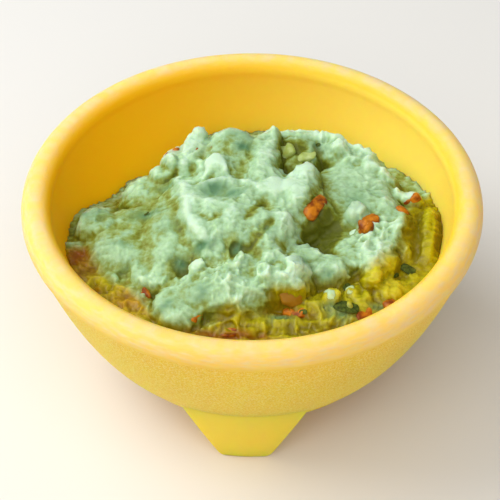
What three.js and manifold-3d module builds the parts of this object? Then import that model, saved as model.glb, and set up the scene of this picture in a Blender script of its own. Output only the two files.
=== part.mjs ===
// Guacamole heaped in a three-footed plastic salsa bowl. Millimetres, +Z up.
// The origin lies on the bowl's axis, level with the undersides of the feet. One foot points along -Y.
// The bowl with its feet is one moulding, and the guacamole that fills it is one solid.
import * as THREE from "three";
import { mergeVertices } from "three/addons/utils/BufferGeometryUtils.js";
import Module from "manifold-3d";

const wasm = await Module();
wasm.setup();

// ---- Driving dimensions -------------------------------------------------------------------------

const SEGMENTS = 60; // facets round the axis, of the bowl and of the heap where it lies in the bowl
const RIM_RADIUS = 62.5; // widest ring of the rolled rim
const RIM_ROLL = 4; // radius of the roll, so the rim is 8 mm thick
const HEIGHT = 60; // table to the top of the rim
const RIM_Z = HEIGHT - RIM_ROLL; // height of the widest ring
const ROLL_START = -35; // degrees from the widest ring: where the roll rises out of the body
const ROLL_END = 182; // and where it goes over into the cavity
const BODY_RADIUS = 62.2;
const BODY_DEPTH = 51; // depth at which the body's curve would close
const BODY_FLATNESS = 0.95;
const BODY_ROUNDNESS = 4.46;
const UNDERSIDE_Z = 13; // flat bottom of the body, between the feet
const CAVITY_RADIUS = 54.6;
const CAVITY_DEPTH = 37; // below the widest ring
const CAVITY_FLATNESS = 1.2;
const CAVITY_ROUNDNESS = 4;
const BODY_DEPTHS = [42.2, 39.5, 35, 29, 22, 14.5, 7, 2.6]; // of the facets, below the widest ring
const CAVITY_DEPTHS = [3, 8, 13, 18, 23, 28, 32, 35, 36.5];
const ROLL_FACETS = 7;

const FOOT_COUNT = 3;
const FOOT_BOTTOM_HALF_WIDTH = 6.9;
const FOOT_SPREAD = 0.515; // half width gained for each mm of height
const FOOT_CORNER = 2; // rounding of the bottom corners
const FOOT_TOP_Z = 23;
const FOOT_SECTION = [
  // radius, height: the outer face leans out, the inner face leans in, and the top is buried in the wall
  [33, 0],
  [44, 0],
  [47.4, 22],
  [34, 20.5],
  [28, 15],
];

const GAP = 0.4; // between the heap and the wall that it lies against
const HEAP_RINGS = 27;
const HEAP_LEVEL = 46; // height of the heap's middle under its masses
const EDGE_LEVEL = 46; // height of the edge on the wall, apart from its dips
const EDGE_DIPS = [
  // depth, with the middle and half width in degrees
  { depth: 6.5, middle: 80, halfWidth: 50 }, // at the back
  { depth: 9.5, middle: 143, halfWidth: 27 }, // at the back left, where a spoon went in
  { depth: 1.9, middle: 180, halfWidth: 9 }, // at the left
  { depth: -1.6, middle: -4, halfWidth: 15 }, // a rise at the right
];
const EDGE_FADE = 0.035; // share of the radius over which the forms fade out towards the wall
const BLEND = 2.6; // mm over which two masses flow into each other
const MASS_DROP = 5; // fall of a mass from its top to its half lengths

const radians = THREE.MathUtils.degToRad;

// ---- Bowl ---------------------------------------------------------------------------------------

// Radius of the body's outside, a given depth below the widest ring.
function bodyRadius(depth) {
  return BODY_RADIUS * (1 - (depth / BODY_DEPTH) ** BODY_FLATNESS) ** (1 / BODY_ROUNDNESS);
}

// Radius of the cavity, a given depth below the widest ring.
function cavityRadius(depth) {
  const closed = Math.min(1, Math.max(0, depth / CAVITY_DEPTH));
  return CAVITY_RADIUS * (1 - closed ** CAVITY_FLATNESS) ** (1 / CAVITY_ROUNDNESS);
}

// The section of the bowl: from the axis under the bowl, up the outside, over the roll and down the cavity.
function bowlProfile() {
  const points = [new THREE.Vector2(0, UNDERSIDE_Z)];
  const edgeRounding = 3;
  points.push(new THREE.Vector2(bodyRadius(RIM_Z - UNDERSIDE_Z) - edgeRounding, UNDERSIDE_Z));
  for (const depth of BODY_DEPTHS) {
    points.push(new THREE.Vector2(bodyRadius(depth), RIM_Z - depth));
  }
  for (let i = 0; i <= ROLL_FACETS; i++) {
    const turn = radians(ROLL_START + ((ROLL_END - ROLL_START) * i) / ROLL_FACETS);
    const r = RIM_RADIUS - RIM_ROLL + RIM_ROLL * Math.cos(turn);
    points.push(new THREE.Vector2(r, RIM_Z + RIM_ROLL * Math.sin(turn)));
  }
  for (const depth of CAVITY_DEPTHS) {
    points.push(new THREE.Vector2(cavityRadius(depth), RIM_Z - depth));
  }
  points.push(new THREE.Vector2(0, RIM_Z - CAVITY_DEPTH));
  return points;
}

// One foot seen from the front: a trapezium with rounded bottom corners.
function footFront() {
  const w = FOOT_BOTTOM_HALF_WIDTH;
  const c = FOOT_CORNER;
  const side = (z) => w + FOOT_SPREAD * z;
  const shape = new THREE.Shape();
  shape.moveTo(-(w - c), 0);
  shape.lineTo(w - c, 0);
  shape.quadraticCurveTo(w, 0, side(c), c);
  shape.lineTo(side(FOOT_TOP_Z), FOOT_TOP_Z);
  shape.lineTo(-side(FOOT_TOP_Z), FOOT_TOP_Z);
  shape.lineTo(-side(c), c);
  shape.quadraticCurveTo(-w, 0, -(w - c), 0);
  return shape;
}

// ---- Guacamole ----------------------------------------------------------------------------------

function mass(x, y, top, along, across, turn, power, rise) {
  return { x, y, top, along, across, turn, power, rise };
}

function bump(x, y, height, along, across, turn, power) {
  return { x, y, height, along, across, turn, power };
}

function hollow(x, y, depth, along, across, turn) {
  return { x, y, depth, along, across, turn };
}

// The masses that the heap is piled up from.
const MASSES = [
  // x, y, top, half length along, half length across, turn, power of the fall, rise along
  mass(-3, -3, 58.4, 17, 22, 0, 2.2, 0.03), // middle
  mass(12.6, 4, 59.1, 12, 5.2, 76, 1.8, 0.06), // main ridge
  mass(6.2, -11, 58, 12, 5.6, 66, 1.8, 0.05), // its front end
  mass(15.5, -0.5, 56.8, 7, 9, -18, 2.4, -0.42), // right face of the ridge
  mass(-6, 21, 57, 10, 10, 0, 2.2, 0), // back
  mass(3, 20, 58.4, 12, 4.5, 85, 2.2, -0.06), // back ridge
  mass(-17, 22.5, 56.6, 4.4, 8, -8, 2, 0), // back sliver
  mass(-21, 18, 55.2, 5, 7, 25, 2, 0), // behind the smear
  mass(14, 31, 54.4, 9, 3.4, -5, 2, 0), // cave roof
  mass(-22, -4, 54.2, 8, 18, -8, 1.8, 0.28), // slope up to the crown
  mass(-19, -18, 53.2, 8, 7, 0, 2, 0.1), // slope in front of the crown
  mass(-30, -8, 50.7, 15.5, 13.5, 8, 2.8, 0.06), // left plateau
  mass(-42.5, -3, 50.2, 6, 6, 0, 3, 0), // left edge
  mass(-27, 10, 51, 10, 9, -20, 2, 0.08), // back left
  mass(-25, -22, 50.2, 9, 6.5, -38, 2.6, 0.05), // left front
  mass(-17, -33.5, 50.8, 9, 8, 80, 3, 0.14), // front lobe
  mass(-6, -29, 54.4, 13, 8.5, 0, 1.8, 0), // front middle
  mass(8, -25, 55.2, 9, 7, -5, 2.2, 0), // front right of the ridge
  mass(27, 9, 53, 13, 17, -10, 2.4, 0), // right
  mass(24, 26, 53.4, 13, 6, -25, 2, 0), // back right
  mass(34, -1, 53.2, 9, 12, 5, 2.2, 0), // right shoulder
  mass(23, -7, 51, 9, 10, 0, 2.2, 0.05), // floor of the valley
  mass(12, 22.5, 54.2, 9, 6.5, 90, 2.4, 0.24), // floor of the cave
  mass(14.5, -17.5, 54.2, 6, 4.5, 20, 2.2, 0), // between the valley and the corner
  mass(-14, 17, 55.4, 5, 6, 0, 2, 0), // between the tooth and the sliver
  mass(30, -14, 52.4, 10, 8, 0, 2.4, 0.03), // right lobe
  mass(20, -20, 53, 8, 6, -5, 2, 0), // ledge below the valley
  mass(32.5, -20, 51.6, 3.2, 6.5, 8, 2.2, 0), // hanging tongue
  mass(44, 0, 48.2, 6, 17, -4, 2, 0), // right wall
  mass(25, -29, 47.8, 20, 9, 30, 1.8, 0), // front right
  mass(2, -38, 47.5, 16, 5, 5, 1.8, 0), // front shelf
  mass(-33, -27, 46, 18, 8, -45, 1.8, 0), // front left, along the wall
];

// The bumps that the spoon and the chunks in the mash left on them.
const BUMPS = [
  // x, y, height, half length along, half length across, turn, power of the fall
  bump(-20.5, 10, 1.5, 8, 3, 100, 1.4), // smear, back
  bump(-18.5, -2, 1.2, 9, 3.6, 93, 1.4), // smear
  bump(-14, -14.5, 1.2, 6, 2.6, 120, 1.4), // smear, front
  bump(-13.4, -24.4, 2.8, 2.3, 2.3, 0, 2), // bead
  bump(-2, -24, 1.6, 3.5, 3, 0, 2), // front crests
  bump(-6, -29, 1.2, 3, 3.5, 20, 2),
  bump(4, -28, 1.6, 2.6, 5.5, 0, 2),
  bump(7, -21, 1.2, 3.5, 2.5, 20, 2),
  bump(13.5, -24, 2.4, 3.4, 3.4, -10, 3), // corner
  bump(12, -29, 1.8, 3, 3.4, 10, 2), // corner drip
  bump(-1.5, -37.5, 1.5, 2, 2.5, 0, 1.5), // front drip
  bump(-7, 24, 1.6, 6, 6, 0, 2), // back mound
  bump(-16, 27, 2.2, 2, 3.4, -12, 3), // sliver
  bump(-10.8, 12.8, 3.6, 3.4, 3.6, 0, 0.9), // tooth
  bump(-25.5, 14.5, 2.6, 3.6, 3.8, 12, 4), // square lump
  bump(6, 29, 2.4, 2.4, 3, 0, 1.5), // back ridge end
  bump(2, 12, 1.2, 3.6, 5, 8, 2),
  bump(6, 3, 1.3, 4.6, 3.6, 25, 4), // pale facet
  bump(14.6, 10, 1.2, 2.2, 3.4, -15, 1.2), // peak
  bump(20.5, -2, 1.8, 2.4, 3, 0, 2), // bulge under the ridge
  bump(23.6, 25.5, 2.4, 2.3, 2.2, 0, 2), // knobs behind
  bump(22, 31, 1.6, 3.4, 2.6, -10, 2),
  bump(33, 26, 1.4, 4, 2.6, -30, 2),
  bump(32.5, 20, 1.6, 2.6, 2.6, 0, 2),
  bump(38, 17, 2.2, 3.4, 2.8, -30, 2),
  bump(28.3, -1.4, 2.6, 2.7, 2.7, 20, 3), // onion lump
  bump(38.5, -8, 1, 3, 4, 0, 2),
  bump(43, 10.5, 3.4, 4.2, 2.8, -15, 3), // wall chunk
  bump(42.4, -5, 2, 3.2, 8.5, -6, 2), // wall folds
  bump(48.8, -3, 3, 3.2, 10, -6, 2),
  bump(22, -29.5, 2, 2.4, 2.4, 0, 2), // bead in the low part
  bump(16, -32, 1.4, 4, 3, 10, 2),
  bump(38, -24, 1.2, 4, 3, 40, 2),
];

// The hollows between them.
const HOLLOWS = [
  // x, y, depth, half length along, half length across, turn
  hollow(19.5, -9, 1.8, 4, 5, -25), // valley
  hollow(-18, -22, 1.8, 3.2, 2.6, 0), // left dimple
  hollow(-3.5, -19.2, 1.4, 3, 2.6, 0), // middle dimple
  hollow(-14, -30, 1.2, 2.2, 3, 0), // front dimple
  hollow(-9, 0.8, 1.6, 6, 3, -6), // crown hollow
  hollow(-12, 7, 1.2, 3.5, 1.4, 0), // behind the crown lip
  hollow(-4, 9, 1.6, 2.5, 3.5, 0),
];

// The lip round the crown: part of an ellipse, with the angles where it fades out.
const LIP = { x: -8.7, y: -6.5, along: 8.6, across: 10.5, width: 2.4, height: 1.1, first: 10, last: 250 };

// Diced tomato that stands out of the heap: centre, length, width and turn.
const TOMATO_THICKNESS = 3;
const TOMATO = [
  { x: 17.2, y: -2.2, long: 7, wide: 3, turn: 62 },
  { x: 31.5, y: -5, long: 4.5, wide: 3.4, turn: 35 },
  { x: 41.5, y: 4, long: 6, wide: 3, turn: 45 },
  { x: -45, y: -15, long: 6, wide: 4, turn: -60 },
  { x: -27, y: -28.5, long: 5, wide: 3.4, turn: -60 },
  { x: 13, y: -34, long: 6.5, wide: 3.2, turn: -15 },
  { x: -3, y: -41, long: 7, wide: 3.4, turn: 0 },
  { x: 6, y: -42, long: 5, wide: 3, turn: 10 },
  { x: 31, y: -33.5, long: 4, wide: 3, turn: 30 },
  { x: 38, y: -28, long: 4.4, wide: 3.2, turn: 20 },
  { x: -23.5, y: 20.5, long: 4.4, wide: 3, turn: 40 },
];

const LUMP_COUNT = 40; // loose lumps of avocado on the surface
const LUMP_REACH = 0.9; // share of the radius that they keep within
const LUMP_SMALLEST = 1.2;
const LUMP_LARGEST = 2.2;

// Height of the heap's edge on the wall.
function edgeHeight(angle) {
  let height = EDGE_LEVEL;
  for (const { depth, middle, halfWidth } of EDGE_DIPS) {
    const turn = angle - radians(middle);
    const apart = Math.atan2(Math.sin(turn), Math.cos(turn)) / radians(halfWidth);
    height -= depth * Math.exp(-(apart ** 4));
  }
  return height;
}

// Radius of the heap where it lies against the wall, at a given height.
function wallRadius(height) {
  return cavityRadius(RIM_Z + GAP - height) - GAP;
}

// Distance from a form's centre, squared, as a share of its half lengths, and the distance along.
function within(form, x, y) {
  const turn = radians(form.turn);
  const along = (x - form.x) * Math.cos(turn) + (y - form.y) * Math.sin(turn);
  const across = -(x - form.x) * Math.sin(turn) + (y - form.y) * Math.cos(turn);
  return { share: (along / form.along) ** 2 + (across / form.across) ** 2, along };
}

// Larger of two heights, with the crease between them filled over BLEND.
function smoothMax(a, b) {
  const mix = Math.max(BLEND - Math.abs(a - b), 0) / BLEND;
  return Math.max(a, b) + (mix * mix * BLEND) / 4;
}

// Height of the lip: a bell across the ellipse, faded out towards its two ends.
function lipHeight(x, y) {
  const u = (x - LIP.x) / LIP.along;
  const v = (y - LIP.y) / LIP.across;
  const off = ((Math.hypot(u, v) - 1) * (LIP.along + LIP.across)) / 2 / LIP.width;
  const turn = Math.atan2(v, u) - radians((LIP.first + LIP.last) / 2);
  const apart = Math.abs(Math.atan2(Math.sin(turn), Math.cos(turn))) / radians((LIP.last - LIP.first) / 2);
  return LIP.height * Math.exp(-(off ** 2)) * Math.min(1, Math.max(0, 3 * (1 - apart)));
}

// Height of the heap's top over a point.
function heapHeight(x, y) {
  const angle = (Math.atan2(y, x) + 2 * Math.PI) % (2 * Math.PI);
  const edge = edgeHeight(angle);
  const out = Math.min(1, Math.hypot(x, y) / wallRadius(edge));
  let top = HEAP_LEVEL + (edge - HEAP_LEVEL) * out ** 2;
  for (const form of MASSES) {
    const { share, along } = within(form, x, y);
    top = smoothMax(top, form.top + form.rise * along - MASS_DROP * share ** form.power);
  }
  for (const form of BUMPS) {
    top += form.height * Math.exp(-(within(form, x, y).share ** form.power));
  }
  for (const form of HOLLOWS) {
    top -= form.depth * Math.exp(-within(form, x, y).share);
  }
  top += lipHeight(x, y);
  return edge + (top - edge) * Math.min(1, (1 - out) / EDGE_FADE);
}

// Adds a ring of points and returns where it starts and how many it has. One point is a pole.
function addRing(vertices, count, point) {
  const ring = { first: vertices.length / 3, count };
  for (let i = 0; i < count; i++) {
    vertices.push(...point((2 * Math.PI * i) / count));
  }
  return ring;
}

// Joins two rings by triangles, stepping along the ring that is behind in angle.
function joinRings(faces, inner, outer) {
  let i = inner.count === 1 ? 1 : 0;
  let j = outer.count === 1 ? 1 : 0;
  while (i < inner.count || j < outer.count) {
    const a = inner.first + (i % inner.count);
    const b = outer.first + (j % outer.count);
    const outerIsBehind = (j + 1) * inner.count <= (i + 1) * outer.count;
    if (i === inner.count || (j < outer.count && outerIsBehind)) {
      j++;
      faces.push(a, b, outer.first + (j % outer.count));
    } else {
      i++;
      faces.push(a, b, inner.first + (i % inner.count));
    }
  }
}

// The heap as a closed surface: rings over the top from the middle to the wall, then down the cavity.
// The rings over the top gain six points each, so that the facets are of one size.
function heapGeometry() {
  const vertices = [];
  const rings = [addRing(vertices, 1, () => [0, 0, heapHeight(0, 0)])];
  for (let k = 1; k <= HEAP_RINGS; k++) {
    const onTop = (angle) => {
      const radius = (wallRadius(edgeHeight(angle)) * k) / HEAP_RINGS;
      const x = radius * Math.cos(angle);
      const y = radius * Math.sin(angle);
      return [x, y, heapHeight(x, y)];
    };
    rings.push(addRing(vertices, 6 * k, onTop));
  }
  const edges = Array.from({ length: SEGMENTS }, (_, i) => edgeHeight((2 * Math.PI * i) / SEGMENTS));
  const lowestEdge = Math.min(...edges);
  const levels = CAVITY_DEPTHS.map((depth) => RIM_Z + GAP - depth).filter((level) => level < lowestEdge);
  const atWall = (angle, height) => {
    const radius = wallRadius(height);
    return [radius * Math.cos(angle), radius * Math.sin(angle), height];
  };
  for (const t of [0.25, 0.5, 0.75]) {
    const partway = (angle) => atWall(angle, edgeHeight(angle) * (1 - t) + levels[0] * t);
    rings.push(addRing(vertices, SEGMENTS, partway));
  }
  for (const level of levels) {
    rings.push(addRing(vertices, SEGMENTS, (angle) => atWall(angle, level)));
  }
  rings.push(addRing(vertices, 1, () => [0, 0, RIM_Z - CAVITY_DEPTH + GAP]));

  const faces = [];
  for (let k = 1; k < rings.length; k++) {
    joinRings(faces, rings[k - 1], rings[k]);
  }
  return new THREE.BufferGeometry()
    .setAttribute("position", new THREE.Float32BufferAttribute(vertices, 3))
    .setIndex(faces);
}

// A die of tomato that lies on the heap, sunk by a third of its thickness.
function tomatoGeometry({ x, y, long, wide, turn }) {
  const slopeX = (heapHeight(x + 1.5, y) - heapHeight(x - 1.5, y)) / 3;
  const slopeY = (heapHeight(x, y + 1.5) - heapHeight(x, y - 1.5)) / 3;
  const up = new THREE.Vector3(-slopeX, -slopeY, 1).normalize();
  return new THREE.BoxGeometry(long, wide, TOMATO_THICKNESS)
    .rotateZ(radians(turn))
    .applyQuaternion(new THREE.Quaternion().setFromUnitVectors(new THREE.Vector3(0, 0, 1), up))
    .translate(x, y, heapHeight(x, y) + TOMATO_THICKNESS / 6);
}

// A lump of avocado, sunk by more than half, placed by a seeded draw.
function lumpGeometry(draw) {
  const angle = 2 * Math.PI * draw();
  const radius = LUMP_REACH * wallRadius(edgeHeight(angle)) * Math.sqrt(draw());
  const size = LUMP_SMALLEST + (LUMP_LARGEST - LUMP_SMALLEST) * draw();
  const x = radius * Math.cos(angle);
  const y = radius * Math.sin(angle);
  return new THREE.OctahedronGeometry(size, 1)
    .scale(1 + 0.5 * draw(), 1, 0.6)
    .rotateZ(Math.PI * draw())
    .translate(x, y, heapHeight(x, y) - 0.2 * size);
}

// ---- Solids -------------------------------------------------------------------------------------

function toSolid(geometry) {
  const bare = geometry.clone();
  bare.deleteAttribute("normal");
  bare.deleteAttribute("uv");
  const merged = mergeVertices(bare, 1e-4);
  return new wasm.Manifold(
    new wasm.Mesh({
      numProp: 3,
      vertProperties: merged.attributes.position.array,
      triVerts: new Uint32Array(merged.index.array),
    }),
  );
}

function toGeometry(solid) {
  const mesh = solid.getMesh();
  return new THREE.BufferGeometry()
    .setAttribute("position", new THREE.Float32BufferAttribute(mesh.vertProperties, 3))
    .setIndex(new THREE.Uint32BufferAttribute(mesh.triVerts, 1));
}

// Turns a profile round the Z axis.
function turned(points) {
  return new THREE.LatheGeometry(points, SEGMENTS).rotateX(Math.PI / 2);
}

function bowlSolid() {
  const ringPoints = [...FOOT_SECTION, FOOT_SECTION[0]].map(([r, z]) => new THREE.Vector2(r, z));
  const footRing = toSolid(turned(ringPoints));
  let bowl = toSolid(turned(bowlProfile()));
  for (let i = 0; i < FOOT_COUNT; i++) {
    // drawn in X and Y, extruded along Z, then stood up so that it runs outwards along -Y
    const prism = new THREE.ExtrudeGeometry(footFront(), {
      depth: RIM_RADIUS,
      bevelEnabled: false,
      curveSegments: 4,
    });
    prism.rotateX(Math.PI / 2).rotateZ((2 * Math.PI * i) / FOOT_COUNT);
    bowl = bowl.add(toSolid(prism).intersect(footRing));
  }
  return bowl;
}

function guacamoleSolid() {
  let seed = 7;
  const draw = () => {
    seed = (seed * 16807) % 2147483647;
    return seed / 2147483647;
  };
  let heap = toSolid(heapGeometry());
  for (const die of TOMATO) {
    heap = heap.add(toSolid(tomatoGeometry(die)));
  }
  for (let i = 0; i < LUMP_COUNT; i++) {
    heap = heap.add(toSolid(lumpGeometry(draw)));
  }
  return heap;
}

// ---- The part -----------------------------------------------------------------------------------

const yellowPlastic = new THREE.MeshStandardMaterial({ color: 0xf7c93a, roughness: 0.5, metalness: 0 });
const mashedAvocado = new THREE.MeshStandardMaterial({ color: 0xa9c48a, roughness: 0.45, metalness: 0 });

const bowl = new THREE.Mesh(toGeometry(bowlSolid()), yellowPlastic);
bowl.name = "bowl";

const guacamole = new THREE.Mesh(toGeometry(guacamoleSolid()), mashedAvocado);
guacamole.name = "guacamole";

const part = new THREE.Group();
part.add(bowl, guacamole);

export default part;
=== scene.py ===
# %% [markdown]
# # Guacamole in a footed salsa bowl
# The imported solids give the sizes: a yellow plastic bowl on three feet, and the heap of guacamole in it.
# This script dresses both of them. The bowl gets a smooth moulding with a stony outer wall, and the heap
# gets the soft lumps, folds and bits of a dip that was mashed with a fork and piled up with a spoon.

# %% Load the solids
from itertools import product

import bpy
import numpy as np
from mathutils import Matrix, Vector


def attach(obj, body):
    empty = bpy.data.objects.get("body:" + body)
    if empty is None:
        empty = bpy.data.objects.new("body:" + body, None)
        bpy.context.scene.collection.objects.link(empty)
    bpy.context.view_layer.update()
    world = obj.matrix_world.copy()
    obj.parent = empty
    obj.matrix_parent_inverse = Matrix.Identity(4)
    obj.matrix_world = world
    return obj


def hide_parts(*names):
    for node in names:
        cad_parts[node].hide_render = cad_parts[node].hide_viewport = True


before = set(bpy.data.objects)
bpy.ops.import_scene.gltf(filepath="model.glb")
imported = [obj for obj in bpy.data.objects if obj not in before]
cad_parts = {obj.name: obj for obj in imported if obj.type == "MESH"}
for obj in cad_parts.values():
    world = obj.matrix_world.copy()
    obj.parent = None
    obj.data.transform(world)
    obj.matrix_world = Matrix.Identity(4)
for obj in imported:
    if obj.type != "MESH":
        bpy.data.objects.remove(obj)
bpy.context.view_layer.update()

MM = 0.001

# %% [markdown]
# ## Camera
# The bowl is seen from a little above, as from a chair at the table. A long lens from half a metre keeps
# the near and far rim nearly alike. The camera is placed by its distance from the middle of the rim, its
# height angle and its turn round the bowl, because those are the three things one would set by hand.

# %% Camera
RIM_Z = 56.0  # height of the rim's widest ring, mm
DISTANCE = 500.0  # camera to the middle of that ring, mm
ELEVATION = np.radians(41.8)
AZIMUTH = np.radians(2.5)
TILT = np.radians(1.58)  # the camera looks this far below the ring
PAN = np.radians(0.09)
LENS = 132.5

camera_data = bpy.data.cameras.new("camera")
camera_data.lens = LENS
camera_data.sensor_width = 36.0
camera = bpy.data.objects.new("camera", camera_data)
ground_distance = DISTANCE * np.cos(ELEVATION)
camera.location = MM * np.array(
    [
        ground_distance * np.sin(AZIMUTH),
        -ground_distance * np.cos(AZIMUTH),
        RIM_Z + DISTANCE * np.sin(ELEVATION),
    ]
)
camera.rotation_euler = (np.pi / 2 - ELEVATION - TILT, 0.0, AZIMUTH + PAN)
bpy.context.collection.objects.link(camera)
bpy.context.scene.camera = camera
print("camera stands at", [round(v, 3) for v in camera.location], "m")

# %% [markdown]
# ## Helpers for meshes
# Every new piece is a surface worked out with numpy: points on a grid of rows and columns that closes on
# itself along a row. One helper makes the quads of such a grid, one closes its ends with triangles round a
# pole, and one puts points and faces into a mesh. The volume that it prints is positive only if the faces
# point outwards, so it is a quick test of every piece.

# %% Grid and mesh helpers
def grid_faces(rows, columns, first=0):
    """Quads between neighbouring rows of a grid whose last column joins the first."""
    row, column = np.meshgrid(np.arange(rows - 1), np.arange(columns), indexing="ij")
    beside = (column + 1) % columns
    a = first + row * columns + column
    b = first + row * columns + beside
    return np.stack([a, b, b + columns, a + columns], -1).reshape(-1, 4)


def fan_faces(pole, ring, reverse=False):
    """Triangles from a pole to a ring of points; reverse turns them over."""
    after = np.roll(ring, -1)
    order = [np.full_like(ring, pole), after, ring] if reverse else [np.full_like(ring, pole), ring, after]
    return np.stack(order, -1)


def enclosed(points, triangles):
    """Volume inside closed triangles, as tetrahedra from the origin: positive if the faces point outwards."""
    a, b, c = (points[triangles[:, n]] for n in range(3))
    return np.einsum("ij,ij->i", a, np.cross(b, c)).sum() / 6


def make_piece(name, points, quads, triangles=()):
    """A smooth mesh object from points in mm, with its faces; it rides on the one body of the frame."""
    points = np.asarray(points, float).reshape(-1, 3)
    quads = np.asarray(quads, int).reshape(-1, 4)
    triangles = np.asarray(triangles, int).reshape(-1, 3)
    mesh = bpy.data.meshes.new(name)
    mesh.from_pydata((points * MM).tolist(), [], quads.tolist() + triangles.tolist())
    mesh.shade_smooth()
    piece = bpy.data.objects.new(name, mesh)
    bpy.context.collection.objects.link(piece)
    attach(piece, "root")
    halves = np.concatenate([quads[:, :3], quads[:, [0, 2, 3]], triangles])
    print(f"{name}: {len(halves)} triangles, {enclosed(points, halves) / 1000:.2f} cm3 inside")
    return piece


def paint(piece, name, values):
    """Stores one number for each point of a piece, for its material to read."""
    attribute = piece.data.attributes.new(name, "FLOAT", "POINT")
    attribute.data.foreach_set("value", np.asarray(values, np.float32).ravel())


# %% [markdown]
# ## Helpers for materials
# Colours are written as sRGB hex values, as a painter would note them, and one function turns them into the
# linear values that the shader needs. Patterns are given by their real size in mm, and one function turns
# that into the scale of a pattern. One more adds any node with its settings, its colour stops and its links.

# %% Colour and node helpers
def linear(hex_colour):
    """sRGB hex to linear RGBA: below 0.04045 a straight line, above it the power 2.4."""
    value = np.array([int(hex_colour[i : i + 2], 16) / 255 for i in (0, 2, 4)])
    value = np.where(value <= 0.04045, value / 12.92, ((value + 0.055) / 1.055) ** 2.4)
    return (*value.tolist(), 1.0)


def per(size):
    """Scale of a pattern whose cells are `size` mm across."""
    return 1 / (size * MM)


def new_material(name):
    """An empty material and its Principled shader."""
    material = bpy.data.materials.new(name)
    material.use_nodes = True
    return material, material.node_tree.nodes["Principled BSDF"]


def add(material, kind, settings=None, stops=(), out=0, **links):
    """Adds a node, its kind being the type without "ShaderNode", and gives one of its outputs.

    Settings are the node's properties, or its inputs by name or number. Stops are the positions and hex
    colours of a colour ramp, in rising order. Links are the sockets that feed its inputs: i6=socket feeds
    input number 6. Out is the wanted output's number or name.
    """
    node = material.node_tree.nodes.new("ShaderNode" + kind)
    for number, (position, colour) in enumerate(stops):
        elements = node.color_ramp.elements
        stop = elements[number] if number < len(elements) else elements.new(position)
        stop.position, stop.color = position, linear(colour)
    for key, value in (settings or {}).items():
        if isinstance(key, str) and hasattr(node, key):
            setattr(node, key, value)
        else:
            node.inputs[key].default_value = value
    for key, source in links.items():
        target = node.inputs[int(key[1:])] if key[0] == "i" and key[1:].isdigit() else node.inputs[key]
        material.node_tree.links.new(source, target)
    return node.outputs[out]


def feed(node, **sources):
    """Links sockets into a node's inputs; Base_Color=socket feeds the input "Base Color"."""
    for name, source in sources.items():
        node.id_data.links.new(source, node.inputs[name.replace("_", " ")])


def adjust(node, values):
    """Sets constant numbers and colours on a node's own sockets."""
    for socket, value in values.items():
        node.inputs[socket].default_value = value


print("mid yellow F8C932 is", np.round(linear("F8C932")[:3], 3).tolist(), "in linear values")


# %% [markdown]
# ## The bowl
# The real bowl is one moulding of yellow plastic: a round body, a rolled rim and three feet. It could be
# sculpted or lathed with modifiers. Here a profile is turned round the axis, which makes the body in one
# closed surface. The curves are the ones of the solid, only with more points, and the two creases of the
# rolled rim stay crisp because points are packed close to them.

# %% Bowl profile
RIM_RADIUS = 62.5
RIM_ROLL = 4.0
BODY_RADIUS, BODY_DEPTH, BODY_FLATNESS, BODY_ROUNDNESS = 62.2, 51.0, 0.95, 4.46
CAVITY_RADIUS, CAVITY_DEPTH, CAVITY_FLATNESS, CAVITY_ROUNDNESS = 54.6, 37.0, 1.2, 4.0
UNDERSIDE_Z = 13.0
BOWL_COLUMNS = 384


def body_radius(depth):
    """Radius of the outside: R (1 - (depth / D)^f)^(1 / r), a given depth below the widest ring."""
    return BODY_RADIUS * (1 - (depth / BODY_DEPTH) ** BODY_FLATNESS) ** (1 / BODY_ROUNDNESS)


def cavity_radius(depth):
    """Radius of the inside, by the same formula with the cavity's own numbers."""
    closed = np.clip(depth / CAVITY_DEPTH, 0, 1)
    return CAVITY_RADIUS * (1 - closed**CAVITY_FLATNESS) ** (1 / CAVITY_ROUNDNESS)


def ease(count):
    """Numbers from 0 to 1 that crowd towards both ends."""
    return 0.5 - 0.5 * np.cos(np.linspace(0, np.pi, count))


turn = np.radians(np.linspace(-35, 180, 40))
roll = np.stack([RIM_RADIUS - RIM_ROLL + RIM_ROLL * np.cos(turn), RIM_Z + RIM_ROLL * np.sin(turn)], -1)
deep = RIM_Z - UNDERSIDE_Z
corner = np.linspace(0, np.pi / 2, 9)[:-1]
corner_radius = 2.0  # between the wall and the flat underside
lowest_body = body_radius(deep - corner_radius) - corner_radius
rounding = np.stack(
    [lowest_body + corner_radius * np.sin(corner), UNDERSIDE_Z + corner_radius * (1 - np.cos(corner))], -1
)
WALL_TOP = 2.7  # depths below the widest ring where the wall meets the roll, outside and inside
CAVITY_TOP = 0.9
depths = (deep - corner_radius) + (WALL_TOP - (deep - corner_radius)) * ease(60)
outside = np.stack([body_radius(depths), RIM_Z - depths], -1)
depths = CAVITY_TOP + (CAVITY_DEPTH - 0.02 - CAVITY_TOP) * ease(50)
inside = np.stack([cavity_radius(depths), RIM_Z - depths], -1)
under = np.stack([np.linspace(2, lowest_body - 1, 12), np.full(12, UNDERSIDE_Z)], -1)
profile = np.concatenate([under, rounding, outside, roll, inside])
print("bowl profile:", len(profile), "points, rim", 2 * profile[:, 0].max(), "mm across")

# %% Bowl body
angles = np.linspace(0, 2 * np.pi, BOWL_COLUMNS, endpoint=False)


def revolve(profile, angles):
    """Each profile point at its radius and height, turned to every angle: rows along it, columns round it."""
    r, z = profile[:, :1], profile[:, 1:]
    return np.stack([r * np.cos(angles), r * np.sin(angles), z + 0 * angles], -1)


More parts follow.
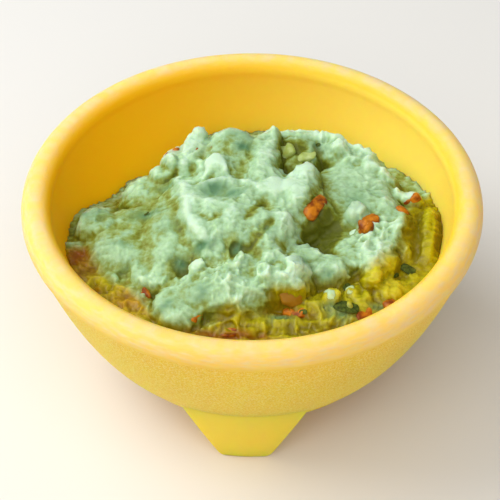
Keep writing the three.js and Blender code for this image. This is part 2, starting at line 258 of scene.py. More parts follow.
rings = revolve(profile, angles).reshape(-1, 3)
poles = np.array([[0, 0, UNDERSIDE_Z], [0, 0, RIM_Z - CAVITY_DEPTH]])
rows = len(profile)
bottom_ring = np.arange(BOWL_COLUMNS)
top_ring = bottom_ring + (rows - 1) * BOWL_COLUMNS
bowl_body = make_piece(
    "bowl_body",
    np.concatenate([rings, poles]),
    grid_faces(rows, BOWL_COLUMNS),
    np.concatenate([fan_faces(len(rings), bottom_ring, True), fan_faces(len(rings) + 1, top_ring)]),
)
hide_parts("bowl")

# %% [markdown]
# The material has to know where on the bowl it is, and the profile knows that best. So each row of the grid
# gets numbers from 0 to 1: on the stony outer wall, on the rim, inside. The roll of the rim fades from one to
# the next. The inside is also painted paler towards the side that the window lights, which is painted light.

# %% What each part of the bowl is
PAINTED_LIT_SIDE = np.radians(35)
GRAIN_STARTS = 6  # rows up the rounded lower corner
on_wall = np.zeros(rows)
on_wall[len(under) + GRAIN_STARTS : len(under) + len(rounding) + len(outside)] = 1.0
inside_wall = np.zeros(rows)
inside_wall[-len(inside) :] = 1.0
roll_rows = slice(rows - len(inside) - len(roll), rows - len(inside))
degrees = np.degrees(turn)  # round the roll: 0 is outwards, 90 up, 180 inwards
inside_wall[roll_rows] = np.clip((degrees - 100) / 50, 0, 1)
on_rim = np.zeros(rows)
on_rim[roll_rows] = np.clip((degrees + 30) / 40, 0, 1) * np.clip((160 - degrees) / 45, 0, 1)
for name, values in (("grain", on_wall), ("inner", inside_wall), ("rim", on_rim), ("foot", 0 * on_rim)):
    paint(bowl_body, name, np.concatenate([np.repeat(values, BOWL_COLUMNS), values[[0, -1]]]))
# painted light: the inner wall is paler towards the side that the window lights
painted_lit_side = np.outer(inside_wall, 0.5 + 0.5 * np.cos(angles - PAINTED_LIT_SIDE)) ** 4
paint(bowl_body, "painted_lit_side", np.concatenate([painted_lit_side.ravel(), [0, 0]]))
print("rows on the grain:", int(on_wall.sum()), "on the rim:", int((on_rim > 0).sum()))

# %% [markdown]
# The feet are wedges that continue the wall. Seen from the front each one is a trapezium with rounded lower
# corners, and its faces follow the bowl's circle. A foot is a grid too: rings round its outline, stacked from
# the underside up into the wall, where the last ring is buried.

# %% Feet
FOOT_BOTTOM_HALF_WIDTH = 6.9
FOOT_SPREAD = 0.515  # half width gained for each mm of height
FOOT_TOP = 22.0
FOOT_CORNER = 2.0  # rounding of the lower corners, seen from the front
FOOT_EDGE = 0.8  # rounding of all other edges
FOOT_OUTER = ((0, 44.0), (22, 47.4))  # height and radius of the outer face
FOOT_INNER = ((0, 33.0), (15, 28.0), (20.5, 34.0), (22, 38.0))


def rounded_square(side_points, arc_points):
    """Outline of a rounded square: where each point's corner centre lies, -1 to 1, and its unit offset."""
    arc = np.linspace(0, np.pi / 2, arc_points)
    signs = np.array([(1, 1), (-1, 1), (-1, -1), (1, -1)], float)
    t = np.linspace(0, 1, side_points + 2)[1:-1, None]
    centres, offsets = [], []
    for number, sign in enumerate(signs):
        turned_arc = arc + number * np.pi / 2
        offset = np.stack([np.cos(turned_arc), np.sin(turned_arc)], -1)
        centres += [np.tile(sign, (arc_points, 1)), (1 - t) * sign + t * signs[(number + 1) % 4]]
        offsets += [offset, np.tile(offset[-1], (side_points, 1))]
    return np.concatenate(centres), np.concatenate(offsets)


def foot_points(angle, levels, outline):
    """The outline at each level: centre * (half size - edge) + edge * offset, bent to the bowl's circle.

    The lower corners follow the curve w - c (1 - t)^2 at height c t^2, t from 0 to 1.
    """
    centres, offsets = outline
    t = np.sqrt(np.clip(levels / FOOT_CORNER, 0, 1))
    half_width = FOOT_BOTTOM_HALF_WIDTH + FOOT_SPREAD * levels - FOOT_CORNER * (1 - t) ** 2
    under_edge = FOOT_EDGE * (1 - np.sqrt(1 - (1 - np.clip(levels / FOOT_EDGE, 0, 1)) ** 2))
    outer = np.interp(levels, *np.transpose(FOOT_OUTER)) - under_edge
    inner = np.interp(levels, *np.transpose(FOOT_INNER)) + under_edge
    x = (half_width - FOOT_EDGE)[:, None] * centres[:, 0] + FOOT_EDGE * offsets[:, 0]
    half_depth = (outer - inner) / 2
    radius = ((outer + inner) / 2)[:, None] - (half_depth - FOOT_EDGE)[:, None] * centres[:, 1]
    radius = radius - FOOT_EDGE * offsets[:, 1]
    y = -np.sqrt(radius**2 - x**2)
    c, s = np.cos(angle), np.sin(angle)
    return np.stack([c * x - s * y, s * x + c * y, levels[:, None] + 0 * x], -1)


foot_levels = np.concatenate([FOOT_CORNER * np.linspace(0, 1, 12) ** 2, np.linspace(3, FOOT_TOP, 16)])
foot_outline = rounded_square(15, 6)
FOOT_AROUND = len(foot_outline[0])
foot_grid = len(foot_levels) * FOOT_AROUND
feet, feet_quads, feet_triangles = [], [], []
for number in range(3):
    points = foot_points(number * 2 * np.pi / 3, foot_levels, foot_outline).reshape(-1, 3)
    first = number * (foot_grid + 2)
    ends = np.array([points[:FOOT_AROUND].mean(0), points[-FOOT_AROUND:].mean(0)])
    feet.append(np.concatenate([points, ends]))
    feet_quads.append(grid_faces(len(foot_levels), FOOT_AROUND, first))
    ring = first + np.arange(FOOT_AROUND)
    feet_triangles.append(fan_faces(first + foot_grid, ring, True))
    feet_triangles.append(fan_faces(first + foot_grid + 1, ring + foot_grid - FOOT_AROUND))
feet, feet_quads, feet_triangles = (np.concatenate(part) for part in (feet, feet_quads, feet_triangles))
bowl_feet = make_piece("bowl_feet", feet, feet_quads, feet_triangles)
for name, value in (("grain", 0), ("inner", 0), ("rim", 0), ("painted_lit_side", 0), ("foot", 1)):
    paint(bowl_feet, name, np.full(len(bowl_feet.data.vertices), value))
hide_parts("bowl")

# %% [markdown]
# ## The heap
# Guacamole holds the shape that the spoon gave it: masses piled on each other, dollops and folds on those,
# and creases where they meet. It could be sculpted by hand, or a fluid could be simulated, but then nobody
# could say why a fold is where it is. Here the height over each point is the largest of many rounded caps,
# with the creases a little filled, and each cap has a name. They are the ones of the solid, and one small
# bump more, between the smear and the tooth.

# %% Forms of the heap, in mm
GAP = 0.4  # between the solid heap and the wall
HEAP_LEVEL = 46.0  # height of the mash where no mass lies on it
EDGE_LEVEL = 46.0  # and at the wall
EDGE_DIPS = (  # depth, with the middle and half width in degrees
    (6.5, 80, 50),  # at the back
    (9.5, 143, 27),  # at the back left, where a spoon went in
    (1.9, 180, 9),  # at the left
    (-1.6, -4, 15),  # a rise at the right
)
EDGE_FADE = 0.035  # share of the radius in which all forms run out at the wall
BLEND = 2.6  # height difference over which two masses flow together
DROP = 5.0  # fall from a mass's top to its half lengths

MASSES = [  # x, y, top, half length along, half length across, turn, power of the fall, rise along
    (-3, -3, 58.4, 17, 22, 0, 2.2, 0.03),  # middle
    (12.6, 4, 59.1, 12, 5.2, 76, 1.8, 0.06),  # main ridge
    (6.2, -11, 58.0, 12, 5.6, 66, 1.8, 0.05),  # its front end
    (15.5, -0.5, 56.8, 7, 9, -18, 2.4, -0.42),  # right face of the ridge
    (-6, 21, 57.0, 10, 10, 0, 2.2, 0),  # back
    (3, 20, 58.4, 12, 4.5, 85, 2.2, -0.06),  # back ridge
    (-17, 22.5, 56.6, 4.4, 8, -8, 2.0, 0),  # back sliver
    (-21, 18, 55.2, 5, 7, 25, 2.0, 0),  # behind the smear
    (14, 31, 54.4, 9, 3.4, -5, 2.0, 0),  # cave roof
    (-22, -4, 54.2, 8, 18, -8, 1.8, 0.28),  # slope up to the crown
    (-19, -18, 53.2, 8, 7, 0, 2.0, 0.1),  # slope in front of the crown
    (-30, -8, 50.7, 15.5, 13.5, 8, 2.8, 0.06),  # left plateau
    (-42.5, -3, 50.2, 6, 6, 0, 3, 0),  # left edge
    (-27, 10, 51.0, 10, 9, -20, 2.0, 0.08),  # back left
    (-25, -22, 50.2, 9, 6.5, -38, 2.6, 0.05),  # left front
    (-17, -33.5, 50.8, 9, 8, 80, 3, 0.14),  # front lobe
    (-6, -29, 54.4, 13, 8.5, 0, 1.8, 0),  # front middle
    (8, -25, 55.2, 9, 7, -5, 2.2, 0),  # front right of the ridge
    (27, 9, 53.0, 13, 17, -10, 2.4, 0),  # right
    (24, 26, 53.4, 13, 6, -25, 2.0, 0),  # back right
    (34, -1, 53.2, 9, 12, 5, 2.2, 0),  # right shoulder
    (23, -7, 51.0, 9, 10, 0, 2.2, 0.05),  # floor of the valley
    (12, 22.5, 54.2, 9, 6.5, 90, 2.4, 0.24),  # floor of the cave
    (14.5, -17.5, 54.2, 6, 4.5, 20, 2.2, 0),  # between the valley and the corner
    (-14, 17, 55.4, 5, 6, 0, 2.0, 0),  # between the tooth and the sliver
    (30, -14, 52.4, 10, 8, 0, 2.4, 0.03),  # right lobe
    (20, -20, 53.0, 8, 6, -5, 2.0, 0),  # ledge below the valley
    (32.5, -20, 51.6, 3.2, 6.5, 8, 2.2, 0),  # hanging tongue
    (44, 0, 48.2, 6, 17, -4, 2.0, 0),  # right wall
    (25, -29, 47.8, 20, 9, 30, 1.8, 0),  # front right
    (2, -38, 47.5, 16, 5, 5, 1.8, 0),  # front shelf
    (-33, -27, 46.0, 18, 8, -45, 1.8, 0),  # front left, along the wall
]
BUMPS = [  # x, y, height, half length along, half length across, turn, power
    (-9, -8, 0.8, 7, 7, 0, 2),  # crown
    (-20.5, 10, 1.5, 8, 3.0, 100, 1.4),  # smear, back
    (-18.5, -2, 1.2, 9, 3.6, 93, 1.4),  # smear
    (-14, -14.5, 1.2, 6, 2.6, 120, 1.4),  # smear, front
    (-16.6, 12.5, 1.3, 2.4, 4.4, 0, 2),  # between the smear and the tooth
    (-19, -36.5, 0.5, 5, 4, -10, 2),  # front lobe
    (-13.4, -24.4, 2.8, 2.3, 2.3, 0, 2),  # bead
    (-2, -24, 1.6, 3.5, 3, 0, 2),  # front crests
    (-6, -29, 1.2, 3, 3.5, 20, 2),
    (4, -28, 1.6, 2.6, 5.5, 0, 2),
    (7, -21, 1.2, 3.5, 2.5, 20, 2),
    (13.5, -24, 2.4, 3.4, 3.4, -10, 3),  # corner
    (12, -29, 1.8, 3, 3.4, 10, 2),  # corner drip
    (-1.5, -37.5, 1.5, 2, 2.5, 0, 1.5),  # front drip
    (-7, 24, 1.6, 6, 6, 0, 2),  # back mound
    (-16, 27.0, 2.2, 2.0, 3.4, -12, 3),  # sliver
    (-10.8, 12.8, 3.6, 3.4, 3.6, 0, 0.9),  # tooth
    (-25.5, 14.5, 2.6, 3.6, 3.8, 12, 4),  # square lump
    (6, 29, 2.4, 2.4, 3, 0, 1.5),  # back ridge end
    (2, 12, 1.2, 3.6, 5, 8, 2),
    (6, 3, 1.3, 4.6, 3.6, 25, 4),  # pale facet
    (14.6, 10, 1.2, 2.2, 3.4, -15, 1.2),  # peak
    (13, 1, 0.8, 3, 4, 12, 2),
    (9, -10, 0.9, 3, 3, 15, 2),
    (3, -9, 0.8, 3, 3, 0, 2),
    (20.5, -2, 1.8, 2.4, 3, 0, 2),  # bulge under the ridge
    (23.6, 25.5, 2.4, 2.3, 2.2, 0, 2),  # knobs behind
    (22, 31, 1.6, 3.4, 2.6, -10, 2),
    (33, 26, 1.4, 4, 2.6, -30, 2),
    (32.5, 20, 1.6, 2.6, 2.6, 0, 2),
    (38, 17, 2.2, 3.4, 2.8, -30, 2),
    (28.3, -1.4, 2.6, 2.7, 2.7, 20, 3),  # onion lump
    (37, 3, 0.8, 3, 3, 20, 2),
    (38.5, -8, 1.0, 3, 4, 0, 2),
    (43, 10.5, 3.4, 4.2, 2.8, -15, 3),  # wall chunk
    (42.4, -5, 2.0, 3.2, 8.5, -6, 2),  # wall folds
    (48.8, -3, 3.0, 3.2, 10, -6, 2),
    (22, -29.5, 2.0, 2.4, 2.4, 0, 2),  # bead in the low part
    (16, -32, 1.4, 4, 3, 10, 2),
    (38, -24, 1.2, 4, 3, 40, 2),
]
HOLLOWS = [  # x, y, depth, half length along, half length across, turn
    (19.5, -9, 1.8, 4, 5, -25),  # valley
    (45.4, -4, 1.5, 1.5, 8, -6),  # between the wall folds
    (-18, -22, 1.8, 3.2, 2.6, 0),  # left dimple
    (-3.5, -19.2, 1.4, 3.0, 2.6, 0),  # middle dimple
    (-14, -30, 1.2, 2.2, 3, 0),  # front dimple
    (-9, 0.8, 1.6, 6.0, 3.0, -6),  # crown hollow
    (-12, 7, 1.2, 3.5, 1.4, 0),  # behind the crown lip
    (-4, 9, 1.6, 2.5, 3.5, 0),
    (-3, 3, 0.8, 2.5, 1.5, 20),
    (4, -4, 1.0, 1.6, 4, 20),
    (27, -7, 1.0, 3, 2, 20),  # under the tomato
]
RINGS = [  # x, y, radius along, radius across, width, height, first and last angle in degrees
    (-8.7, -6.5, 8.6, 10.5, 2.4, 1.1, 10, 250),  # lip of the crown
]


# %% Height of the heap
def edge_height(angle):
    """One level all round, less depth * exp(-share^4) for each dip; share is the angle from its middle."""
    height = EDGE_LEVEL + 0 * angle
    for depth, middle, half_width in EDGE_DIPS:
        apart = (np.degrees(angle) - middle + 180) % 360 - 180
        height = height - depth * np.exp(-((apart / half_width) ** 4))
    return height


def wall_radius(height, gap=GAP):
    """Radius of the heap where it lies against the wall."""
    return cavity_radius(RIM_Z + gap - height) - gap


def turned(centre, along, across, turn, x, y):
    """Distances from a form's centre along its own turned axes, as shares of its half lengths."""
    c, s = np.cos(np.radians(turn)), np.sin(np.radians(turn))
    u = (x - centre[0]) * c + (y - centre[1]) * s
    v = (y - centre[1]) * c - (x - centre[0]) * s
    return u / along, v / across


def smooth_max(a, b, blend):
    """The larger of two, plus a quarter of the blend where they are equal, fading out a blend apart."""
    mix = np.maximum(blend - np.abs(a - b), 0) / blend
    return np.maximum(a, b) + mix * mix * blend / 4


def ring_height(ring, x, y):
    """A lip along an ellipse: a bell across it, faded out towards the first and the last angle."""
    centre_x, centre_y, along, across, width, height, first, last = ring
    u, v = (x - centre_x) / along, (y - centre_y) / across
    off = (np.hypot(u, v) - 1) * (along + across) / 2 / width
    middle, half = np.radians((first + last) / 2), np.radians((last - first) / 2)
    apart = np.abs(np.angle(np.exp(1j * (np.arctan2(v, u) - middle)))) / half
    return height * np.exp(-(off**2)) * np.clip(3 * (1 - apart), 0, 1)


def heap_height(x, y):
    """Smooth maximum of the masses, plus bumps, less hollows, faded to the edge's height.

    A mass is top + rise * u - drop * share^power; a bump is height * exp(-share^power).
    """
    angle = np.mod(np.arctan2(y, x), 2 * np.pi)
    edge = edge_height(angle)
    out = np.minimum(1, np.hypot(x, y) / wall_radius(edge))
    top = HEAP_LEVEL + (edge - HEAP_LEVEL) * out**2
    for *centre, peak, along, across, turn, power, rise in MASSES:
        u, v = turned(centre, along, across, turn, x, y)
        top = smooth_max(top, peak + rise * along * u - DROP * (u * u + v * v) ** power, BLEND)
    for *centre, height, along, across, turn, power in BUMPS:
        u, v = turned(centre, along, across, turn, x, y)
        top = top + height * np.exp(-((u * u + v * v) ** power))
    for *centre, depth, along, across, turn in HOLLOWS:
        u, v = turned(centre, along, across, turn, x, y)
        top = top - depth * np.exp(-u * u - v * v)
    for ring in RINGS:
        top = top + ring_height(ring, x, y)
    return edge + (top - edge) * np.minimum(1, (1 - out) / EDGE_FADE)


print("heap height over the axis:", round(float(heap_height(0.0, 0.0)), 1), "mm")

# %% [markdown]
# ### Relief
# Mashed avocado is lumpy at every size. Two patterns in space make that: soft lumps, one in each cell of a
# lattice, and smooth noise. They are functions of a point in space and not of x and y alone, so steep
# sides get the same lumps as flat tops. A displaced texture could do it too, but these can be turned down
# where a spoon has smoothed the mash and up where it was torn.

# %% Patterns in space
TABLE_SIZE = 1 << 16


def drawn(cell, table):
    """A seeded random number for each cell of a lattice: the cell's three numbers pick a place in a table."""
    i, j, k = (cell[..., n].astype(np.int64) for n in range(3))
    return table[(i * 73856093 ^ j * 19349663 ^ k * 83492791) & (TABLE_SIZE - 1)]


def noise(points, size, seed):
    """Smooth noise from -1 to 1: random values on lattice corners `size` apart, blended by 3t^2 - 2t^3."""
    table = np.random.default_rng(seed).uniform(-1, 1, TABLE_SIZE)
    place = points / size
    cell = np.floor(place)
    t = place - cell
    t = t * t * (3 - 2 * t)
    total = np.zeros(points.shape[:-1])
    for corner in product((0, 1), repeat=3):
        weight = np.prod(np.where(np.array(corner) == 1, t, 1 - t), axis=-1)
        total += weight * drawn(cell + np.array(corner), table)
    return total


def lumps(points, size, seed, smallest, largest, blend):
    """Soft lumps: one in each cell, h (1 - (distance / radius)^2), smooth maximum over 27 cells.

    The radius is a share of the cell's size, from smallest to largest.
    """
    rng = np.random.default_rng(seed)
    tables = rng.uniform(0, 1, (5, TABLE_SIZE))
    place = points / size
    cell = np.floor(place)
    top = np.zeros(points.shape[:-1])
    for offset in product((-1, 0, 1), repeat=3):
        near = cell + np.array(offset)
        centre = near + 0.5 + 0.8 * (np.stack([drawn(near, table) for table in tables[:3]], -1) - 0.5)
        radius = smallest + (largest - smallest) * drawn(near, tables[3])
        height = 0.35 + 0.65 * drawn(near, tables[4])
        apart = ((place - centre) ** 2).sum(-1) / radius**2
        top = smooth_max(top, height * (1 - apart), blend)
    return top


# %% Relief of the mash
SMOOTH = [  # x, y, half length along, half length across, turn: where the mash was drawn smooth
    (-27, -8, 14, 13, 0), (25, 12, 7, 9, 0), (-6, 24, 6, 6, 0), (-9, 1, 6, 3.4, -6),
    (6.3, 3.2, 4.8, 3.8, 25), (6.3, 3.2, 3.8, 3.0, 25), (-18, -34, 7, 6, 0),
]
TORN = [  # the same, where it was torn up
    (-2, -27, 15, 9, 0), (27, -29, 18, 9, 30), (30, 25, 11, 6, -30),
    (-4, -41, 20, 4, 0), (-33, -29, 14, 5, -45), (34, -10, 9, 8, 0),
]


def shake(points, amount, size, seed):
    """Offsets of up to `amount` along each axis: three noises, with seeds from `seed` on."""
    return amount * np.stack([noise(points, size, seed + axis) for axis in range(3)], -1)


def relief(points):
    """Wide noise, soft lumps, folds and torn crests of two sizes, and fine noise, in mm.

    A fold is |noise|, which has soft tops and sharp creases. A torn crest is 1 - 2.4 |noise|, cut off at 0,
    which has a sharp top. All but the widest are weaker on smooth patches and stronger on torn ones.
    """
    rough = np.full(points.shape[:-1], 0.72)
    for change, patches in ((-0.5, SMOOTH), (0.7, TORN)):
        for *centre, along, across, turn in patches:
            u, v = turned(centre, along, across, turn, points[..., 0], points[..., 1])
            rough = rough * (1 + change * np.exp(-((u * u + v * v) ** 2)))
    pulled = points + shake(points, 1.1, 4.0, 11)  # so that no lump comes out round
    wide = 0.36 * noise(pulled, 7.0, 21)
    chunks = 0.6 * lumps(pulled, 4.2, 23, smallest=0.3, largest=0.55, blend=0.12)
    folds = 0.6 * np.abs(noise(pulled, 4.4, 22)) + 0.45 * np.abs(noise(pulled, 2.1, 24))
    crumbs = 0.38 * lumps(pulled, 2.3, 27, smallest=0.2, largest=0.5, blend=0.12)
    crags = 0.6 * np.clip(1 - 2.4 * np.abs(noise(pulled, 3.4, 28)), 0, 1)
    crags = crags + 0.3 * np.clip(1 - 2.4 * np.abs(noise(pulled, 1.9, 29)), 0, 1)
    fine = 0.22 * np.abs(noise(points, 1.1, 25)) + 0.05 * noise(points, 0.6, 26)
    # all of them but the wide noise are above 0, and 0.8 is about their average: so the level stays
    return wide + rough * (chunks + folds + crumbs + crags + fine - 0.8)


# %% [markdown]
# ### Marks of the spoon
# The spoon was turned as it let go, and that left a swirl: thin crests with grooves beside them. A pattern
# can't make lines that belong together, so each one is a line through a few points, and its cross section is
# a bell. The lines are shaken by noise so that they look torn and not drawn. Each also changes the tone:
# paler along a crest, which is painted light, and more olive along a groove, which is painted shade.

# %% Crests and grooves
# the change of tone is painted light along crests and painted shade along grooves
MARKS = [  # height, half width, change of tone, and the points of the line; grooves are below 0
    (0.4, 1.2, 0.16, ((-20.4, 10.4), (-19, 2.4), (-17.6, -5.4), (-15.5, -12.5), (-11.9, -18.8))),
    (0.5, 1.6, 0.26, ((-17.2, 22), (-19.2, 16.5), (-20.2, 11.5))),
    (0.4, 1.3, 0.14, ((-4.8, -6.4), (-6.4, -12.4), (-8.8, -17.7), (-10.7, -20.5))),
    (0.35, 1.2, 0.14, ((-13.1, 4.8), (-8.5, 6.1), (-3.6, 6.3), (0.9, 2.8), (2.8, -1.8))),
    (0.35, 1.2, 0.14, ((-13.9, -3.4), (-10.1, -4.4), (-7.8, -5.7))),
    (0.3, 1.1, 0.14, ((13.4, -7.6), (11.2, -13.6), (9.2, -18.4), (5, -23))),
    (0.8, 1.0, 0.25, ((-13.7, 7.5), (-12.2, 11), (-10.9, 13.8))),
    (0.5, 0.9, 0.15, ((-7, 7.5), (-9, 11.5), (-10.9, 13.8))),
    (-0.5, 1.4, -0.35, ((2.8, -2), (1.6, -6.1), (-0.7, -9.4))),
    (-0.55, 1.4, -0.38, ((6, -10.3), (3.3, -15.1), (0.2, -17.8), (-2.9, -19.7), (-3.8, -22.5))),
    (-0.35, 1.2, -0.2, ((-22.4, 2), (-20.7, -7.9), (-18.1, -14.1), (-14.3, -19.1))),
    (-0.3, 1.2, -0.22, ((-12.5, -9), (-10.4, -10.8), (-7.6, -9.4))),
]


def mark(line, half_width, x, y):
    """exp(-(distance / half width)^2), the distance being to the nearest of the line's straight pieces."""
    nearest = np.full(np.shape(x), np.inf)
    for (ax, ay), (bx, by) in zip(line, line[1:]):
        run_x, run_y = bx - ax, by - ay
        share = np.clip(((x - ax) * run_x + (y - ay) * run_y) / (run_x**2 + run_y**2), 0, 1)
        nearest = np.minimum(nearest, np.hypot(x - ax - share * run_x, y - ay - share * run_y))
    return np.exp(-((nearest / half_width) ** 2))


def marks(points, column):
    """Sum of all marks, each times its height (column 0) or its change of tone (column 2)."""
    shaken = points + shake(points, 1.2, 3.0, 81)
    return sum(row[column] * mark(row[3], row[1], shaken[..., 0], shaken[..., 1]) for row in MARKS)


print("spoon marks:", len(MARKS))

# %% [markdown]
# ### The surface
# A square grid bent onto a disc has no pole in the middle, where the highest folds are. Its points are then
# moved towards steep places, so that the sides of the folds get as many points as their tops. The relief
# pushes each point out along the surface's own direction. Below its edge the piece runs down along the wall
# to a flat floor, which closes it.

# %% Disc, normals and averages
CEILING_STARTS, CEILING_ROOM = 58.6, 1.5  # mm: the heap must not stand higher than its solid


def under_ceiling(z):
    """Squeezes what is too high: an excess e over the start becomes r (1 - exp(-e / r)), r being the room."""
    excess = np.maximum(z - CEILING_STARTS, 0)
    return np.minimum(z, CEILING_STARTS) + CEILING_ROOM * (1 - np.exp(-excess / CEILING_ROOM))


def unit_disc(count):
    """A square grid bent onto a disc: squares round the middle become circles round it."""
    side = np.linspace(-1, 1, count)
    a, b = np.meshgrid(side, side)
    wide = np.abs(a) > np.abs(b)
    radius = np.where(wide, a, b)
    safe_a = np.where(a == 0, 1, a)
    safe_b = np.where(b == 0, 1, b)
    angle = np.where(wide, np.pi / 4 * b / safe_a, np.pi / 2 - np.pi / 4 * a / safe_b)
    angle = np.where((a == 0) & (b == 0), 0, angle)
    return radius * np.cos(angle), radius * np.sin(angle)


def normals(points):
    """Upward unit normals of a grid of points, from the differences along its rows and columns."""
    across = np.cross(np.gradient(points, axis=1), np.gradient(points, axis=0))
    return across / np.linalg.norm(across, axis=-1, keepdims=True)


def evened(points, stretch):
    """Inner points moved half way to the mean of their four neighbours, each weighed by its stretch.

    Stretch is how much longer the surface is than its plan. Points gather where it is large.
    """
    here = points[1:-1, 1:-1]
    sides = [(slice(None, -2), slice(1, -1)), (slice(2, None), slice(1, -1))]
    sides += [(slice(1, -1), slice(None, -2)), (slice(1, -1), slice(2, None))]
    neighbours = np.stack([points[side] for side in sides])
    weight = np.stack([stretch[side] for side in sides])[..., None] + stretch[1:-1, 1:-1, None]
    return (here + (neighbours * weight).sum(0) / weight.sum(0)) / 2


def smeared(values, reach):
    """Box average over a square of the grid, by running sums."""
    for axis in (0, 1):
        padded = np.pad(values, [(reach + 1, reach) if n == axis else (0, 0) for n in (0, 1)], mode="edge")
        total = np.cumsum(padded, axis=axis)
        size = values.shape[axis]
        high = np.take(total, np.arange(2 * reach + 1, 2 * reach + 1 + size), axis=axis)
        low = np.take(total, np.arange(0, size), axis=axis)
        values = (high - low) / (2 * reach + 1)
    return values


# %% Surface of the heap
HEAP_COUNT = 297
SKIRT_STEPS = 6
EVEN_ROUNDS, EVEN_STEPS = 10, 12
PRESSED = -0.15  # the mash is pressed into the wall by this much, so that no gap shows
disc_x, disc_y = unit_disc(HEAP_COUNT)
disc_angle = np.mod(np.arctan2(disc_y, disc_x), 2 * np.pi)
disc_out = np.hypot(disc_x, disc_y)
reach = wall_radius(edge_height(disc_angle))
smooth_top = np.stack([reach * disc_x, reach * disc_y, np.zeros_like(reach)], -1)
smooth_top[..., 2] = heap_height(smooth_top[..., 0], smooth_top[..., 1])
for _ in range(EVEN_ROUNDS):
    stretch = smeared(1 / normals(smooth_top)[..., 2], 2)
    for _ in range(EVEN_STEPS):
        smooth_top[1:-1, 1:-1, :2] = evened(smooth_top[..., :2], stretch)
    smooth_top[..., 2] = heap_height(smooth_top[..., 0], smooth_top[..., 1])
bumps = relief(smooth_top) + marks(smooth_top, 0)
heap_top = smooth_top + normals(smooth_top) * bumps[..., None]
heap_top[..., 2] = under_ceiling(heap_top[..., 2])
wall = wall_radius(heap_top[..., 2], PRESSED)
radius = np.hypot(heap_top[..., 0], heap_top[..., 1])
at_edge = disc_out > 1 - 1e-9
held_in = np.where(at_edge, wall, np.minimum(radius, wall)) / np.maximum(radius, 1e-6)
heap_top[..., :2] *= held_in[..., None]
print("heap top:", heap_top[..., 2].min().round(1), "to", heap_top[..., 2].max().round(1), "mm high")

# %% Heap as a closed piece
index = np.arange(HEAP_COUNT**2).reshape(HEAP_COUNT, HEAP_COUNT)
rim_index = np.concatenate([index[0, :-1], index[:-1, -1], index[-1, :0:-1], index[:0:-1, 0]])
edge_points = heap_top.reshape(-1, 3)[rim_index]
edge_angle = np.arctan2(edge_points[:, 1], edge_points[:, 0])
floor_z = RIM_Z - CAVITY_DEPTH + 0.1  # just over the floor of the bowl
steps = np.linspace(0, 1, SKIRT_STEPS + 1)[1:, None] ** 0.8
down_z = edge_points[:, 2] + (floor_z + 0.4 - edge_points[:, 2]) * steps
down_r = wall_radius(down_z, PRESSED)
down = np.stack([down_r * np.cos(edge_angle), down_r * np.sin(edge_angle), down_z], -1)
around = len(rim_index)
top_count = HEAP_COUNT**2
skirt_index = top_count + np.arange(SKIRT_STEPS * around).reshape(-1, around)
skirt_index = np.concatenate([rim_index[None], skirt_index])
a, b = skirt_index[:-1], np.roll(skirt_index[:-1], -1, axis=1)
c, d = np.roll(skirt_index[1:], -1, axis=1), skirt_index[1:]
skirt_faces = np.stack([a, d, c, b], -1).reshape(-1, 4)
top_faces = np.stack([index[:-1, :-1], index[:-1, 1:], index[1:, 1:], index[1:, :-1]], -1).reshape(-1, 4)
heap_points = np.concatenate([heap_top.reshape(-1, 3), down.reshape(-1, 3), [[0, 0, floor_z]]])
guacamole = make_piece(
    "guacamole_mash",
    heap_points,
    np.concatenate([top_faces, skirt_faces]),
    fan_faces(len(heap_points) - 1, skirt_index[-1], True),
)
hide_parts("guacamole")

# %% [markdown]
# ### What its colour follows
# Mashed avocado is painted pale on the crests and olive in the creases: painted light and shade. Where it
# lies
# low it is soaked: yellow with oil and lime, and orange or red-brown where tomato juice stands, and there the
# yellow and orange are partly painted reflection of the bowl's wall. All of that follows the form, so it is
# worked out from the surface and painted on its points: the height over the average around, how far a point
# lies beyond the pale upper mass, and spots of herb, juice and painted shade. Low in the bowl, the pale mass
# ends in a ragged line, which is given as a radius for each direction.

# %% Crests, and the low wet zone
z = heap_top[..., 2]
near = z - smeared(smeared(z, 3), 3)  # over the average of about 2 mm around
far = z - smeared(smeared(z, 14), 14)  # and of about 10 mm around
# painted light and shade: crests over the average around come out paler, creases more olive
crest = 0.5 + 0.5 * np.tanh(0.75 * near + 0.26 * far)
PALE_REACH = [  # angle in degrees and radius in mm, from the right round the back to the right
    (-43, 33.5), (-26, 38.6), (-14, 41.8), (-4, 39), (7, 42.4), (15, 48), (25, 60), (185, 60),
    (192, 50), (198, 45.2), (206, 45), (217, 41), (223, 42), (231, 41.5), (243, 45), (247, 44.8),
    (256, 40), (266, 35.8), (277, 35.4), (285, 29.5), (301, 31.8), (317, 33.5),
]
x, y = heap_top[..., 0], heap_top[..., 1]
heap_angle = np.degrees(np.arctan2(y, x))
ragged = heap_top + shake(heap_top, 1.6, 5.0, 71) + shake(heap_top, 0.6, 1.6, 74)
first_angle = PALE_REACH[0][0]
ragged_angle = np.degrees(np.arctan2(ragged[..., 1], ragged[..., 0]))
ragged_angle = np.mod(ragged_angle - first_angle, 360) + first_angle
beyond = np.hypot(ragged[..., 0], ragged[..., 1]) - np.interp(ragged_angle, *np.transpose(PALE_REACH))
low = np.clip(0.4 + beyond / 3 + 0.6 * (0.5 - crest), 0, 1)  # creases get wet a little before crests
low = low * np.clip((54.5 - z) / 2, 0, 1)  # and nothing above 54.5 mm does
print("low and wet:", round(float(low.mean()) * 100), "% of the points")

